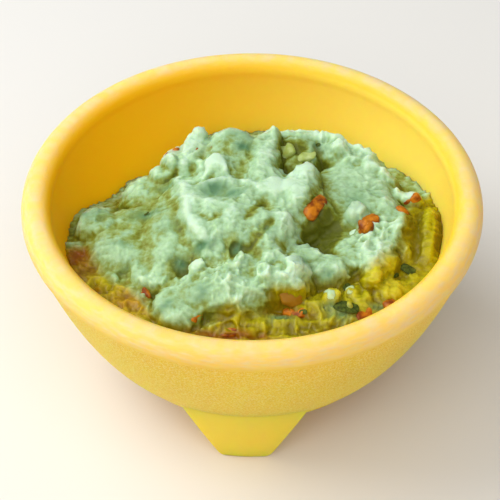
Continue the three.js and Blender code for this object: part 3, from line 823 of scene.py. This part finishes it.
# %% Herb under the surface, juice, and spots of tone
HERB_AND_HOLLOW_SHADE = [  # x, y, half length, half width, strength: herb just under the surface, and painted shade in hollows
    (-28.6, -2.5, 4.5, 2.2, 0.8), (-3.4, 20.1, 2.6, 1.6, 1.0), (-11, 2.2, 4.4, 2.8, 1.0),
    (-5.5, 0.3, 3.4, 2.0, 0.9), (-18.2, -20.9, 2.2, 1.8, 0.8), (-3.4, -19.5, 1.6, 1.6, 0.8),
    (-11.7, -18.7, 3.4, 1.4, 1.0), (-12.1, -32.7, 2.4, 2.4, 0.7), (-24, 8, 2.4, 1.6, 0.6),
    (-35.5, -13.3, 3.4, 1.8, 0.5), (-21, -36, 1.8, 1.4, 0.7), (14.5, -22.5, 2.6, 2.6, 0.7),
    (21, -24, 2.6, 1.6, 0.7), (17, 26, 2.4, 1.6, 0.8), (-4, 25, 3.4, 2.4, 0.5),
    (-42, -1, 3.0, 4.0, 0.5), (28, 3, 3.0, 5.0, 0.6), (-33, -20, 2.4, 1.6, 0.5),
    (25, -34, 3.4, 2.4, 0.8), (5, -14, 2.0, 1.4, 0.5), (-22, -10, 4.0, 3.0, 0.35),
    (33, 8, 3.0, 2.0, 0.3), (9, -36.5, 3.4, 1.4, 0.9), (-47, -1, 3.0, 1.6, 0.8),
    (22, -33, 3.0, 1.6, 0.7), (34, -30.5, 2.6, 1.6, 0.6),
]
JUICE = [  # the same: red juice from the tomato; the spot at 17, 25.5 is painted shade instead
    (-47, -14, 4.0, 5.0, 1.0), (-40.5, -27, 2.0, 2.4, 0.7), (-5, -42.5, 11.0, 1.5, 0.9),
    (5, -42.5, 2.4, 1.4, 0.8), (12, -34.5, 5.0, 1.6, 0.6), (32, -35, 4.0, 2.0, 0.3),
    (39, -29, 3.0, 2.0, 0.3), (12, -43.5, 6.0, 1.4, 0.4), (17, 25.5, 1.8, 1.2, 0.9),
    (-27.5, -29, 2.0, 2.5, 0.7), (-23.5, 20.5, 3.0, 2.0, 0.8), (-15, 19.5, 3.0, 2.2, 0.35),
]
WALL_ORANGE_AND_JUICE = [  # the same: where the low mash is orange, partly from tomato juice, partly painted reflection of the wall
    (-31, -32, 8, 6, 1.0), (-44, -18, 4, 6, 0.8), (-8, -43, 12, 2.4, 0.6),
]
TONE_LIGHT_AND_SHADE = [  # the same, paler (above 0) or more olive (below 0): mostly painted light and shade, as in the valley and cave
    (-28, -8, 15, 12, -0.14), (-36, 3, 8, 8, -0.15), (-22, 10, 9, 8, -0.1), (-6, 22, 9, 8, -0.15),
    (11, 24, 5, 4.5, -0.7), (-42.5, -3, 6, 6, -0.2), (-18, -22, 3.4, 3, -0.5), (-3.5, -19.2, 3, 2.6, -0.4),
    (32.5, -25, 3, 4, -0.3), (-18, -34, 8, 7, -0.15), (26, 12, 9, 12, 0.12), (20, -8, 4.5, 5, -1.0),
    (18.5, -1, 3, 6, -0.45), (-17, -2, 5.5, 14, 0.25), (-8, -3, 8, 9, 0.1), (6.3, 3.2, 4.4, 3.4, 0.55),
    (-11, 12, 3.6, 4.4, 0.12), (-15.5, 24, 2.6, 4.5, 0.35), (11, 0, 5, 14, 0.12), (34, -11, 8, 7, 0.2),
    (14, -25, 4, 4, 0.35), (28.5, -1.6, 3, 3, 0.4), (42.5, 10.5, 4, 3, 0.5), (45.5, -4, 5, 11, -0.4),
    (38, -22.5, 5, 4, 0.6), (-16.5, 11, 3, 4, 0.25), (17, -39, 7, 3, -0.3), (-13.5, -24, 2.4, 2.4, 0.35),
    (23.7, 26, 2.6, 2.6, 0.3), (3, 16, 4, 9, 0.2), (-2, -28, 9, 6, 0.1),
]


def bells(table, x, y):
    """One layer for each row: strength * exp(-(distance in half lengths)^2)."""
    return [
        strength * np.exp(-(((x - spot_x) / length) ** 2) - ((y - spot_y) / width) ** 2)
        for spot_x, spot_y, length, width, strength in table
    ]


def spots(table):
    """The strongest of many bells, with ragged edges."""
    ragged = heap_top + shake(heap_top, 0.9, 2.2, 61)
    return np.max(bells(table, ragged[..., 0], ragged[..., 1]), 0)


around_angle = np.mod(heap_angle, 360)
WALL_SEAM = (193, 250)  # degrees: a dark seam along the wall from the left to the front, partly juice and partly painted shade
# painted shade and reflection in the crease where the mash meets the wall, with some juice in it
wall_seam_shade_and_juice = np.exp(-(((wall - radius) / 1.8) ** 2))  # a seam about 2 mm wide
wall_seam_shade_and_juice = wall_seam_shade_and_juice * np.clip((WALL_SEAM[1] - around_angle) / 10, 0, 1)
wall_seam_shade_and_juice = 0.8 * wall_seam_shade_and_juice * np.clip((around_angle - WALL_SEAM[0]) / 5, 0, 1)
juice_and_seam_shade = np.maximum(spots(JUICE), wall_seam_shade_and_juice) * (0.3 + 0.7 * low)
# painted light on lit lumps and painted shade in hollows, with some tone of the mash itself
tone = sum(bells(TONE_LIGHT_AND_SHADE, x, y)) + marks(smooth_top, 2)

# %% [markdown]
# Light comes from the left, so the sides of the folds that face away from it look greener and deeper than
# the form alone would give: wet mash there mirrors the bowl and not the sky. A number for steep sides that
# face front and right darkens them a little.

# %% Steep sides, and all numbers on the points
steep_normal = normals(smooth_top)
facing = steep_normal[..., 0] * 0.6 - steep_normal[..., 1] * 0.8
steep = np.clip((0.9 - steep_normal[..., 2]) / 0.45, 0, 1)  # from 26 degrees of slope, in full from 63
steep = steep * np.clip(0.5 + facing, 0.2, 1)
layers = {"herb": spots(HERB_AND_HOLLOW_SHADE), "wall_orange_and_juice": spots(WALL_ORANGE_AND_JUICE) * low, "juice_and_seam_shade": juice_and_seam_shade}
layers |= {"crest": crest, "low": low, "tone": tone, "steep": steep}
for name, values in layers.items():
    below = np.full(SKIRT_STEPS * around + 1, 1.0 if name == "low" else 0.0)
    paint(guacamole, name, np.concatenate([values.ravel(), below]))
print("crest:", crest.mean().round(2), "steep:", steep.mean().round(2), "on average")

# %% [markdown]
# ## Bits in the mash
# Tomato, onion and firm avocado are cut with a knife, so they are small blocks whose edges went soft in the
# juice. Herb leaves are torn and chopped flakes. All of them can be one formula: a superellipsoid is a ball,
# a rounded block or a thin flake, as its exponent and its three sizes say. Each kind is one piece. The blocks
# are laid on the finished surface and pushed into it, so that mash covers their edges, as in a real dip.

# %% Blocks and flakes
def on_heap(x, y):
    """Point and outward direction of the heap's surface at x, y: those of the nearest point of its grid."""
    points = heap_top.reshape(-1, 3)
    nearest = np.argmin(np.hypot(points[:, 0] - x[:, None], points[:, 1] - y[:, None]), axis=1)
    return points[nearest], normals(smooth_top).reshape(-1, 3)[nearest]


def signed_power(wave, exponent):
    """The size of a wave to a power, with its sign: below 1 it makes a circle squarer."""
    return np.sign(wave) * np.abs(wave) ** exponent


def blocks(sizes, squareness, wobble, bend, seed, rings=9, columns=20):
    """Closed superellipsoids: x = a C(v) C(u), y = b C(v) S(u), z = c S(v), from powers of cos and sin.

    Each one tapers and leans a little by random shares, is bent by z - bend x^2, and wobbles by smooth noise.
    """
    rng = np.random.default_rng(seed)
    count = len(sizes)
    taper, lean, skew = (rng.uniform(-0.22, 0.22, (count, 1, 1)) for _ in range(3))
    u = np.linspace(0, 2 * np.pi, columns, endpoint=False)
    v = np.linspace(-np.pi / 2, np.pi / 2, rings + 2)[:, None]
    x = signed_power(np.cos(v), squareness) * signed_power(np.cos(u), squareness)
    y = signed_power(np.cos(v), squareness) * signed_power(np.sin(u), squareness)
    z = signed_power(np.sin(v), squareness) + 0 * u
    x, y, z = x + lean * z, y * (1 + taper * x) + skew * x, z * (1 + taper * y)
    points = np.stack([x, y, z], -1) * np.asarray(sizes)[:, None, None, :] / 2
    points[..., 2] -= bend * points[..., 0] ** 2
    shift = 40.0 * np.arange(count)[:, None, None, None]
    rough = shake(points + shift, 1.0, 1.6, seed + 1)
    rough[:, [0, -1]] = rough[:, [0, -1], :1]
    return points + wobble * rough


def laid(local, x, y, turn, lift):
    """Lays each block on the heap: its long side turned in the surface, its middle lifted out of it."""
    place, up = on_heap(x, y)
    turn = np.radians(turn)[:, None]
    along = np.concatenate([np.cos(turn), np.sin(turn), 0 * turn], 1)
    along = along - up * (along * up).sum(1, keepdims=True)
    along = along / np.linalg.norm(along, axis=1, keepdims=True)
    frame_of = np.stack([along, np.cross(up, along), up], 1)
    points = np.einsum("nrci,nij->nrcj", local, frame_of) + (place + up * lift[:, None])[:, None, None]
    points[..., 2] = under_ceiling(points[..., 2])
    return points


def make_bits(name, points):
    """One piece from many closed blocks, each a grid whose first and last rows are poles."""
    count, rows, columns = points.shape[:3]
    body = points[:, 1:-1].reshape(count, -1, 3)
    each = np.concatenate([body, points[:, 0, :1], points[:, -1, :1]], 1)
    size = each.shape[1]
    quads = grid_faces(rows - 2, columns)
    first_ring = np.arange(columns)
    fans = [fan_faces(size - 2, first_ring, True), fan_faces(size - 1, first_ring + (rows - 3) * columns)]
    step = (size * np.arange(count))[:, None, None]
    quads, fans = (quads + step).reshape(-1, 4), (np.concatenate(fans) + step).reshape(-1, 3)
    piece = make_piece(name, each.reshape(-1, 3), quads, fans)
    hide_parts("guacamole")
    return piece


# %% [markdown]
# The sizes below are those of dice that a kitchen knife makes, 2 to 9 mm long. Each row is one piece.

# %% Diced tomato
TOMATO_SUNK = 1.15  # mm that every block is pushed in, less its own lift
TOMATO = np.array([  # x, y, length, width, thickness, turn, lift
    (17.2, -2.2, 9.0, 4.0, 3.0, 62, 0.75),
    (31.5, -5, 6.2, 4.0, 3.0, 35, 0.5),
    (41.0, 3.2, 5.8, 3.2, 3.0, 50, 0.6),
    (44.0, 8.0, 5.0, 2.2, 2.4, 55, 0.2),
    (-45.5, -15.5, 6.0, 4.0, 2.4, -60, -0.4),
    (-27.0, -28.5, 4.0, 2.2, 2.0, -60, 0.2),
    (12.6, -34.4, 6.5, 2.6, 2.4, -15, 0.1),
    (-4, -41.5, 7.0, 3.0, 2.4, 0, -0.3),
    (4, -41.5, 5.0, 2.4, 2.0, 10, -0.3),
    (31, -34, 5.2, 3.6, 3.0, 30, 0.4),
    (38, -29, 5.2, 3.4, 3.0, 30, 0.4),
    (-23.5, 20.5, 4.4, 2.6, 2.6, 40, 0.0),
    (-16.0, 19.0, 2.6, 1.8, 1.6, 70, 0.2),
    (-12.5, 20.5, 2.4, 1.5, 1.4, 20, 0.1),
    (-12, -39, 3.0, 2.2, 2.0, 20, 0.0),
])
local = blocks(TOMATO[:, 2:5], squareness=0.5, wobble=0.6, bend=0.02, seed=301)
spread = TOMATO[:, [0, 1, 5, 6]] - (0, 0, 0, TOMATO_SUNK)
tomato = make_bits("tomato_dice", laid(local, *spread.T))

# %% Onion and firm avocado
PALE_SUNK = 1.3
PALE = np.array([  # the same, and a tint: below 0.5 white onion, up to 1 green avocado, 1.6 brown
    (8.5, 22.8, 5.0, 4.2, 3.4, 10, 0.6, 0.9),
    (14.2, 21.0, 5.4, 2.6, 2.6, 20, 0.6, 0.85),
    (12, -32.2, 7.0, 3.2, 3.0, -12, 0.1, 1.6),
    (22, -30.0, 3.4, 3.0, 3.0, 80, 0.2, 0.5),
    (27, -26.3, 2.4, 2.2, 2.0, 20, 0.4, 0.6),
    (27.3, -6.8, 3.6, 2.4, 2.2, 30, 0.3, 0.25),
])
local = blocks(PALE[:, 2:5], squareness=0.6, wobble=0.7, bend=0.0, seed=401)
spread = PALE[:, [0, 1, 5, 6]] - (0, 0, 0, PALE_SUNK)
pale_bits = make_bits("onion_and_avocado_dice", laid(local, *spread.T))
paint(pale_bits, "tint", np.repeat(PALE[:, 7], len(pale_bits.data.vertices) // len(PALE)))

# %% Chopped herb
HERB = np.array([  # x, y, length, width, turn
    (26.0, -32.5, 6.4, 3.6, -10), (42.6, -16.0, 5.4, 3.0, -35), (26.0, -24.6, 3.0, 1.6, 40),
    (14.8, -34.6, 2.6, 1.4, 10), (39.0, -18.6, 2.0, 1.2, 20), (17.5, 27, 1.6, 1.2, 30),
    (-42.5, 4.5, 3.2, 1.4, 60), (-28.5, -2.0, 1.8, 0.6, 15),
])
LEAF_THICKNESS = 0.4  # two or three times a real leaf's, so that it shows
LEAF_LIFT = 0.45
sizes = np.column_stack([HERB[:, 2:4], np.full(len(HERB), LEAF_THICKNESS)])
local = blocks(sizes, squareness=0.8, wobble=0.3, bend=0.05, seed=501)
lift = np.full(len(HERB), LEAF_LIFT)
herb = make_bits("herb_flakes", laid(local, HERB[:, 0], HERB[:, 1], HERB[:, 4], lift))

# %% [markdown]
# ## Materials
# Each material is a Principled shader fed by solid noise in the bowl's own place, so nothing has to be
# unwrapped, and by the numbers on the points. Pictures of real surfaces could be used instead, but then the
# pattern wouldn't follow the form. Pattern sizes are those of the real thing where a view can show them.
#
# ### The bowl's plastic
# Polypropylene is dyed through and milky: light goes in and comes out again yellower. That gives the eye a
# softly glowing bowl and not a painted one. The skin that the mould left has a blurred shine. The rim is
# painted pale, partly as painted sheen and partly as streaks rubbed by spoons and washing. Inside, the yellow
# is painted deep orange in the shade and paler on the side that the window lights: painted shade and light.

# %% Yellow plastic, injection moulded: its colour
CLOUD, STREAK_HEIGHT = 28, 0.8  # mm
STREAKS_ROUND = 14.0  # for each radian of the rim, so that a streak is 62.5 / 14 = 4.5 mm long
plastic, shader = new_material("polypropylene_injection_moulded")
place = add(plastic, "TexCoord", out="Object")
grain, inner, foot, rim, painted_lit_side = (
    add(plastic, "Attribute", {"attribute_name": name}, out="Fac")
    for name in ("grain", "inner", "foot", "rim", "painted_lit_side")
)
tinted = {"data_type": "RGBA"}
clouds = add(plastic, "TexNoise", {"Scale": per(CLOUD), "Detail": 3.0}, Vector=place)
stops = ((0.35, "F8C932"), (0.65, "FBD13E"))
tint = add(plastic, "ValToRGB", stops=stops, Fac=clouds)
# painted light: the feet are painted a paler yellow, as their upright faces catch more light than the wall
tint = add(plastic, "Mix", {**tinted, 7: linear("FFD648")}, i0=foot, i6=tint, out=2)

split = add(plastic, "SeparateXYZ", Vector=place).node
level = add(plastic, "CombineXYZ", X=split.outputs["X"], Y=split.outputs["Y"])
level = add(plastic, "VectorMath", {"operation": "NORMALIZE"}, i0=level)
way_round = add(plastic, "VectorMath", {"operation": "SCALE", "Scale": STREAKS_ROUND}, i0=level)
upwards = add(plastic, "Math", {"operation": "MULTIPLY", 1: per(STREAK_HEIGHT)}, i0=split.outputs["Z"])
drawn_out = {"noise_dimensions": "4D", "Scale": 1.0, "Detail": 4.0}
streaks = add(plastic, "TexNoise", drawn_out, Vector=way_round, W=upwards)
# noise from 0.4 to 0.65 becomes a strength from 0.45 to 1, and the same order of numbers holds below
streaks = add(plastic, "MapRange", {1: 0.4, 2: 0.65, 3: 0.45, 4: 1.0}, i0=streaks)
# the rim is painted paler: a band of painted sheen, with streaks of real wear in it
rim_sheen_and_streaks = add(plastic, "Math", {"operation": "MULTIPLY"}, i0=rim, i1=streaks)
tint = add(plastic, "Mix", {**tinted, 7: linear("EACE90")}, i0=rim_sheen_and_streaks, i6=tint, out=2)
# painted shade and light: deep orange inside, paler yellow towards the side that the window lights
inside = add(plastic, "Mix", {**tinted, 6: linear("FFC004"), 7: linear("FDD658")}, i0=painted_lit_side, out=2)
tint = add(plastic, "Mix", tinted, i0=inner, i6=tint, i7=inside, out=2)
print("plastic so far:", len(plastic.node_tree.nodes), "nodes")

# %% [markdown]
# The mould was etched where the hand holds the bowl, and that left a stony grain on the outer wall. The real
# stones are about 0.3 mm across, too fine to show, so they are drawn at 0.7 mm with grit of 0.45 mm between.
# High grit is rubbed pale, and low grit keeps a little dirt. The grain is a bump too, and so are the streaks.

# %% Its grain and its shine
STONE, GRIT, SKIN = 0.7, 0.45, 0.35  # mm
stones = add(plastic, "TexVoronoi", {"Scale": per(STONE)}, Vector=place)
grit = add(plastic, "TexNoise", {"Scale": per(GRIT), "Detail": 2.0}, Vector=place)
for colour, limits in (("FBE290", {1: 0.5, 2: 0.66, 4: 0.75}), ("CE9420", {1: 0.5, 2: 0.36, 4: 0.22})):
    share = add(plastic, "MapRange", {**limits, 3: 0.0}, i0=grit)
    share = add(plastic, "Math", {"operation": "MULTIPLY"}, i0=share, i1=grain)
    tint = add(plastic, "Mix", {**tinted, 7: linear(colour)}, i0=share, i6=tint, out=2)
feed(shader, Base_Color=tint)

stony = add(plastic, "Math", {"operation": "MULTIPLY_ADD", 1: -0.8}, i0=stones, i2=grit)
skin = add(plastic, "TexNoise", {"Scale": per(SKIN), "Detail": 1.0}, Vector=place)
skin = add(plastic, "Math", {"operation": "MULTIPLY", 1: 0.18}, i0=skin)
ridged = add(plastic, "Math", {"operation": "MULTIPLY_ADD", 1: 0.35}, i0=rim_sheen_and_streaks, i2=skin)
height = add(plastic, "Mix", {"data_type": "FLOAT"}, i0=grain, i2=ridged, i3=stony)
bump = add(plastic, "Bump", {"Strength": 0.8, "Distance": 0.34 * MM}, Height=height)
feed(shader, Normal=bump)
rough = add(plastic, "MapRange", {1: 0.3, 2: 0.7, 3: 0.42, 4: 0.56}, i0=clouds)
feed(shader, Roughness=rough)
adjust(shader, {"IOR": 1.49, "Specular IOR Level": 0.15})
# red light goes 12 mm deep into the plastic, green a third of that, and blue hardly at all
glow = {"Weight": 0.8, "Radius": (1.0, 0.35, 0.03), "Scale": 12 * MM}
adjust(shader, {"Subsurface " + name: value for name, value in glow.items()})
for piece in (bowl_body, bowl_feet):
    piece.data.materials.append(plastic)
print("plastic in all:", len(plastic.node_tree.nodes), "nodes, on", plastic.users, "pieces")

# %% [markdown]
# ### Mashed avocado
# The flesh is wet, soft and full of oil. Light goes in for two or three mm, which rounds every small form,
# and the oil gives blurred glints on the crests and a wetter shine low in the bowl. One number, the shade,
# runs from the olive of the creases to the pale green of the crests, partly as painted light and shade. Where
# the mash lies low the same shade takes a yellow ramp, and near the juice an orange one, so that the folds
# stay readable in every colour. Both ramps are partly soaked mash and partly painted reflection of the bowl.

# %% Avocado, mashed with a fork: shade and colour
MOTTLE, FLECK, PULP = 3.2, 1.1, 0.9  # mm: pulp is finer in truth, and is drawn as coarse as a view can show
mash, shader = new_material("avocado_mashed")
place = add(mash, "TexCoord", out="Object")
number = {name: add(mash, "Attribute", {"attribute_name": name}, out="Fac") for name in layers}
mottle = add(mash, "TexNoise", {"Scale": per(MOTTLE), "Detail": 3.0}, Vector=place)
flecks = add(mash, "TexNoise", {"Scale": per(FLECK), "Detail": 2.0}, Vector=place)
shade = add(mash, "Math", {"operation": "MULTIPLY_ADD", 1: 0.8, 2: -0.6}, i0=mottle)
shade = add(mash, "Math", {"operation": "MULTIPLY_ADD", 1: 0.4}, i0=flecks, i2=shade)
shade = add(mash, "Math", {"operation": "ADD"}, i0=shade, i1=number["tone"])
shade = add(mash, "Math", {"operation": "MULTIPLY_ADD", 1: -0.26}, i0=number["steep"], i2=shade)
shade = add(mash, "Math", {"operation": "ADD"}, i0=shade, i1=number["crest"])

pale_stops = (
    (0.0, "5C6212"), (0.12, "727818"), (0.3, "889A4E"), (0.5, "98B88A"), (0.72, "AACA9E"), (0.95, "C2DCBC"),
)
# the yellow and orange ramps are partly the soaked mash's own colour, partly painted reflection of the bowl
soaked_and_reflected_stops = ((0.1, "7C7004"), (0.5, "A69E08"), (0.9, "C0B624"))
wall_orange_and_juice_stops = ((0.15, "7C5204"), (0.85, "C49C1C"))
pale, soaked_and_reflected, wall_orange_and_juice = (
    add(mash, "ValToRGB", stops=stops, Fac=shade) for stops in (pale_stops, soaked_and_reflected_stops, wall_orange_and_juice_stops)
)
soaked_and_reflected = add(mash, "Mix", tinted, i0=number["wall_orange_and_juice"], i6=soaked_and_reflected, i7=wall_orange_and_juice, out=2)
colour = add(mash, "Mix", tinted, i0=number["low"], i6=pale, i7=soaked_and_reflected, out=2)
# herb spots are partly painted shade in the hollows; juice spots include the painted shade of the wall seam
for name, stain in (("herb", "58825A"), ("juice_and_seam_shade", "844A04")):
    colour = add(mash, "Mix", {**tinted, 7: linear(stain)}, i0=number[name], i6=colour, out=2)
feed(shader, Base_Color=colour)
print("mash so far:", len(mash.node_tree.nodes), "nodes, reading", ", ".join(number))

# %% Its shine and its pulp
rough = add(mash, "MapRange", {1: 0.0, 2: 1.0, 3: 0.48, 4: 0.3}, i0=number["low"])
feed(shader, Roughness=rough)
pulp = add(mash, "TexNoise", {"Scale": per(PULP), "Detail": 3.0}, Vector=place)
bump = add(mash, "Bump", {"Strength": 0.5, "Distance": 0.25 * MM}, Height=pulp)
feed(shader, Normal=bump)
adjust(shader, {"IOR": 1.4, "Specular IOR Level": 0.28})
glow = {"Weight": 0.6, "Radius": (1.0, 0.9, 0.35), "Scale": 2.5 * MM}
adjust(shader, {"Subsurface " + name: value for name, value in glow.items()})
guacamole.data.materials.append(mash)
print("mash in all:", len(mash.node_tree.nodes), "nodes")

# %% [markdown]
# ### Tomato
# A knife cut through ripe tomato leaves wet flesh with a shine, deep red-brown where juice and skin lie under
# it and orange where the flesh is thick. Noise as wide as a third of a block mixes the two, so that no two
# blocks look alike.

# %% Tomato, cut with a knife
TOMATO_FLESH = 2.4  # mm
tomato_flesh, shader = new_material("tomato_knife_cut")
place = add(tomato_flesh, "TexCoord", out="Object")
flesh = add(tomato_flesh, "TexNoise", {"Scale": per(TOMATO_FLESH), "Detail": 3.0}, Vector=place)
stops = ((0.38, "7A3804"), (0.62, "C47610"))
colour = add(tomato_flesh, "ValToRGB", stops=stops, Fac=flesh)
feed(shader, Base_Color=colour)
bump = add(tomato_flesh, "Bump", {"Strength": 0.3, "Distance": 0.2 * MM}, Height=flesh)
feed(shader, Normal=bump)
adjust(shader, {"Roughness": 0.4, "Specular IOR Level": 0.3, "IOR": 1.38})
tomato.data.materials.append(tomato_flesh)
print("tomato:", stops)

# %% [markdown]
# ### Onion and firm avocado
# Cut onion is glassy and nearly white, and it lets some light in. A firm piece of avocado is cut smooth too,
# but green, and brown where it has lain in juice. One material does for all, because each block carries its
# own number on one ramp from white over green to brown, and layers of about 2 mm vary it.

# %% Onion and avocado, cut with a knife
ONION_LAYER = 2.0  # mm
onion_flesh, shader = new_material("onion_and_avocado_knife_cut")
place = add(onion_flesh, "TexCoord", out="Object")
tint = add(onion_flesh, "Attribute", {"attribute_name": "tint"}, out="Fac")
flesh = add(onion_flesh, "TexNoise", {"Scale": per(ONION_LAYER), "Detail": 3.0}, Vector=place)
varied = add(onion_flesh, "Math", {"operation": "MULTIPLY_ADD", 1: 0.6, 2: -0.3}, i0=flesh)
mixed = add(onion_flesh, "Math", {"operation": "MULTIPLY_ADD", 1: 0.67}, i0=tint, i2=varied)
stops = ((0.0, "C6E0CA"), (0.23, "B8D6AC"), (0.43, "BAC88A"), (0.65, "98A850"), (1.0, "946A12"))
colour = add(onion_flesh, "ValToRGB", stops=stops, Fac=mixed)
feed(shader, Base_Color=colour)
bump = add(onion_flesh, "Bump", {"Strength": 0.25, "Distance": 0.2 * MM}, Height=flesh)
feed(shader, Normal=bump)
adjust(shader, {"Roughness": 0.45, "IOR": 1.38, "Specular IOR Level": 0.25})
glow = {"Weight": 0.3, "Radius": (1.0, 0.9, 0.5), "Scale": 1 * MM}
adjust(shader, {"Subsurface " + name: value for name, value in glow.items()})
pale_bits.data.materials.append(onion_flesh)
print("onion and avocado:", stops)

# %% [markdown]
# ### Herb
# A chopped leaf is thin and dull, dark green with paler veins. It gives the eye the darkest spots of the dip,
# and it must not shine like the wet mash, or it would look like a hole full of oil.

# %% Herb leaf, chopped
VEIN = 0.8  # mm: coarser than real veins, which are too fine to show
leaf, shader = new_material("herb_leaf_chopped")
place = add(leaf, "TexCoord", out="Object")
veins = add(leaf, "TexNoise", {"Scale": per(VEIN), "Detail": 2.0}, Vector=place)
stops = ((0.35, "2C3808"), (0.7, "56641E"))
colour = add(leaf, "ValToRGB", stops=stops, Fac=veins)
feed(shader, Base_Color=colour)
adjust(shader, {"Roughness": 0.6, "Specular IOR Level": 0.15})
herb.data.materials.append(leaf)
print("herb:", stops)

# %% [markdown]
# ## Floor and light
# The bowl stands on pale paper, which is stage and not part of it. A wide window high on the left gives every
# fold a light and a dark side. A second soft light from the front, warmer and weaker, is the room. A dim
# bluish sky fills the rest, so that no crease goes black. A single lamp would give hard shadows, which wet
# food does not forgive.

# %% Floor
HALF_FLOOR = 1.5  # m
corners = [(x * HALF_FLOOR, y * HALF_FLOOR, 0) for x, y in ((-1, -1), (1, -1), (1, 1), (-1, 1))]
floor_mesh = bpy.data.meshes.new("floor")
floor_mesh.from_pydata(corners, [], [(0, 1, 2, 3)])
floor = bpy.data.objects.new("floor", floor_mesh)
bpy.context.collection.objects.link(floor)
floor_paint, shader = new_material("paper_pale")
adjust(shader, {"Base Color": linear("E2DED6"), "Roughness": 0.9})
floor_mesh.materials.append(floor_paint)
print("floor:", 2 * HALF_FLOOR, "m square")

# %% Light
world = bpy.data.worlds.new("studio")
world.use_nodes = True
sky = world.node_tree.nodes["Background"]
adjust(sky, {"Color": linear("EAF2FF"), "Strength": 0.34})
bpy.context.scene.world = world


def soft_light(name, place, size, power, colour):
    """A square light; place and size are in mm, and it is turned to the middle of the bowl."""
    data = bpy.data.lights.new(name, "AREA")
    data.size = size * MM
    data.energy = power
    data.color = linear(colour)[:3]
    light = bpy.data.objects.new(name, data)
    light.location = MM * np.array(place, float)
    light.rotation_euler = (Vector((0, 0, 0.04)) - light.location).to_track_quat("-Z", "Y").to_euler()
    bpy.context.collection.objects.link(light)
    print(f"{name}: {power} W, {light.location.length:.2f} m away")


soft_light("window", (-620, 150, 700), 800, 8.1, "F6FAFF")
soft_light("room", (-50, -560, 820), 900, 6.6, "FFFAF2")

scene = bpy.context.scene
scene.view_settings.view_transform = "Standard"  # colours come out as they were written
scene.cycles.max_bounces = 12
scene.cycles.diffuse_bounces = 8
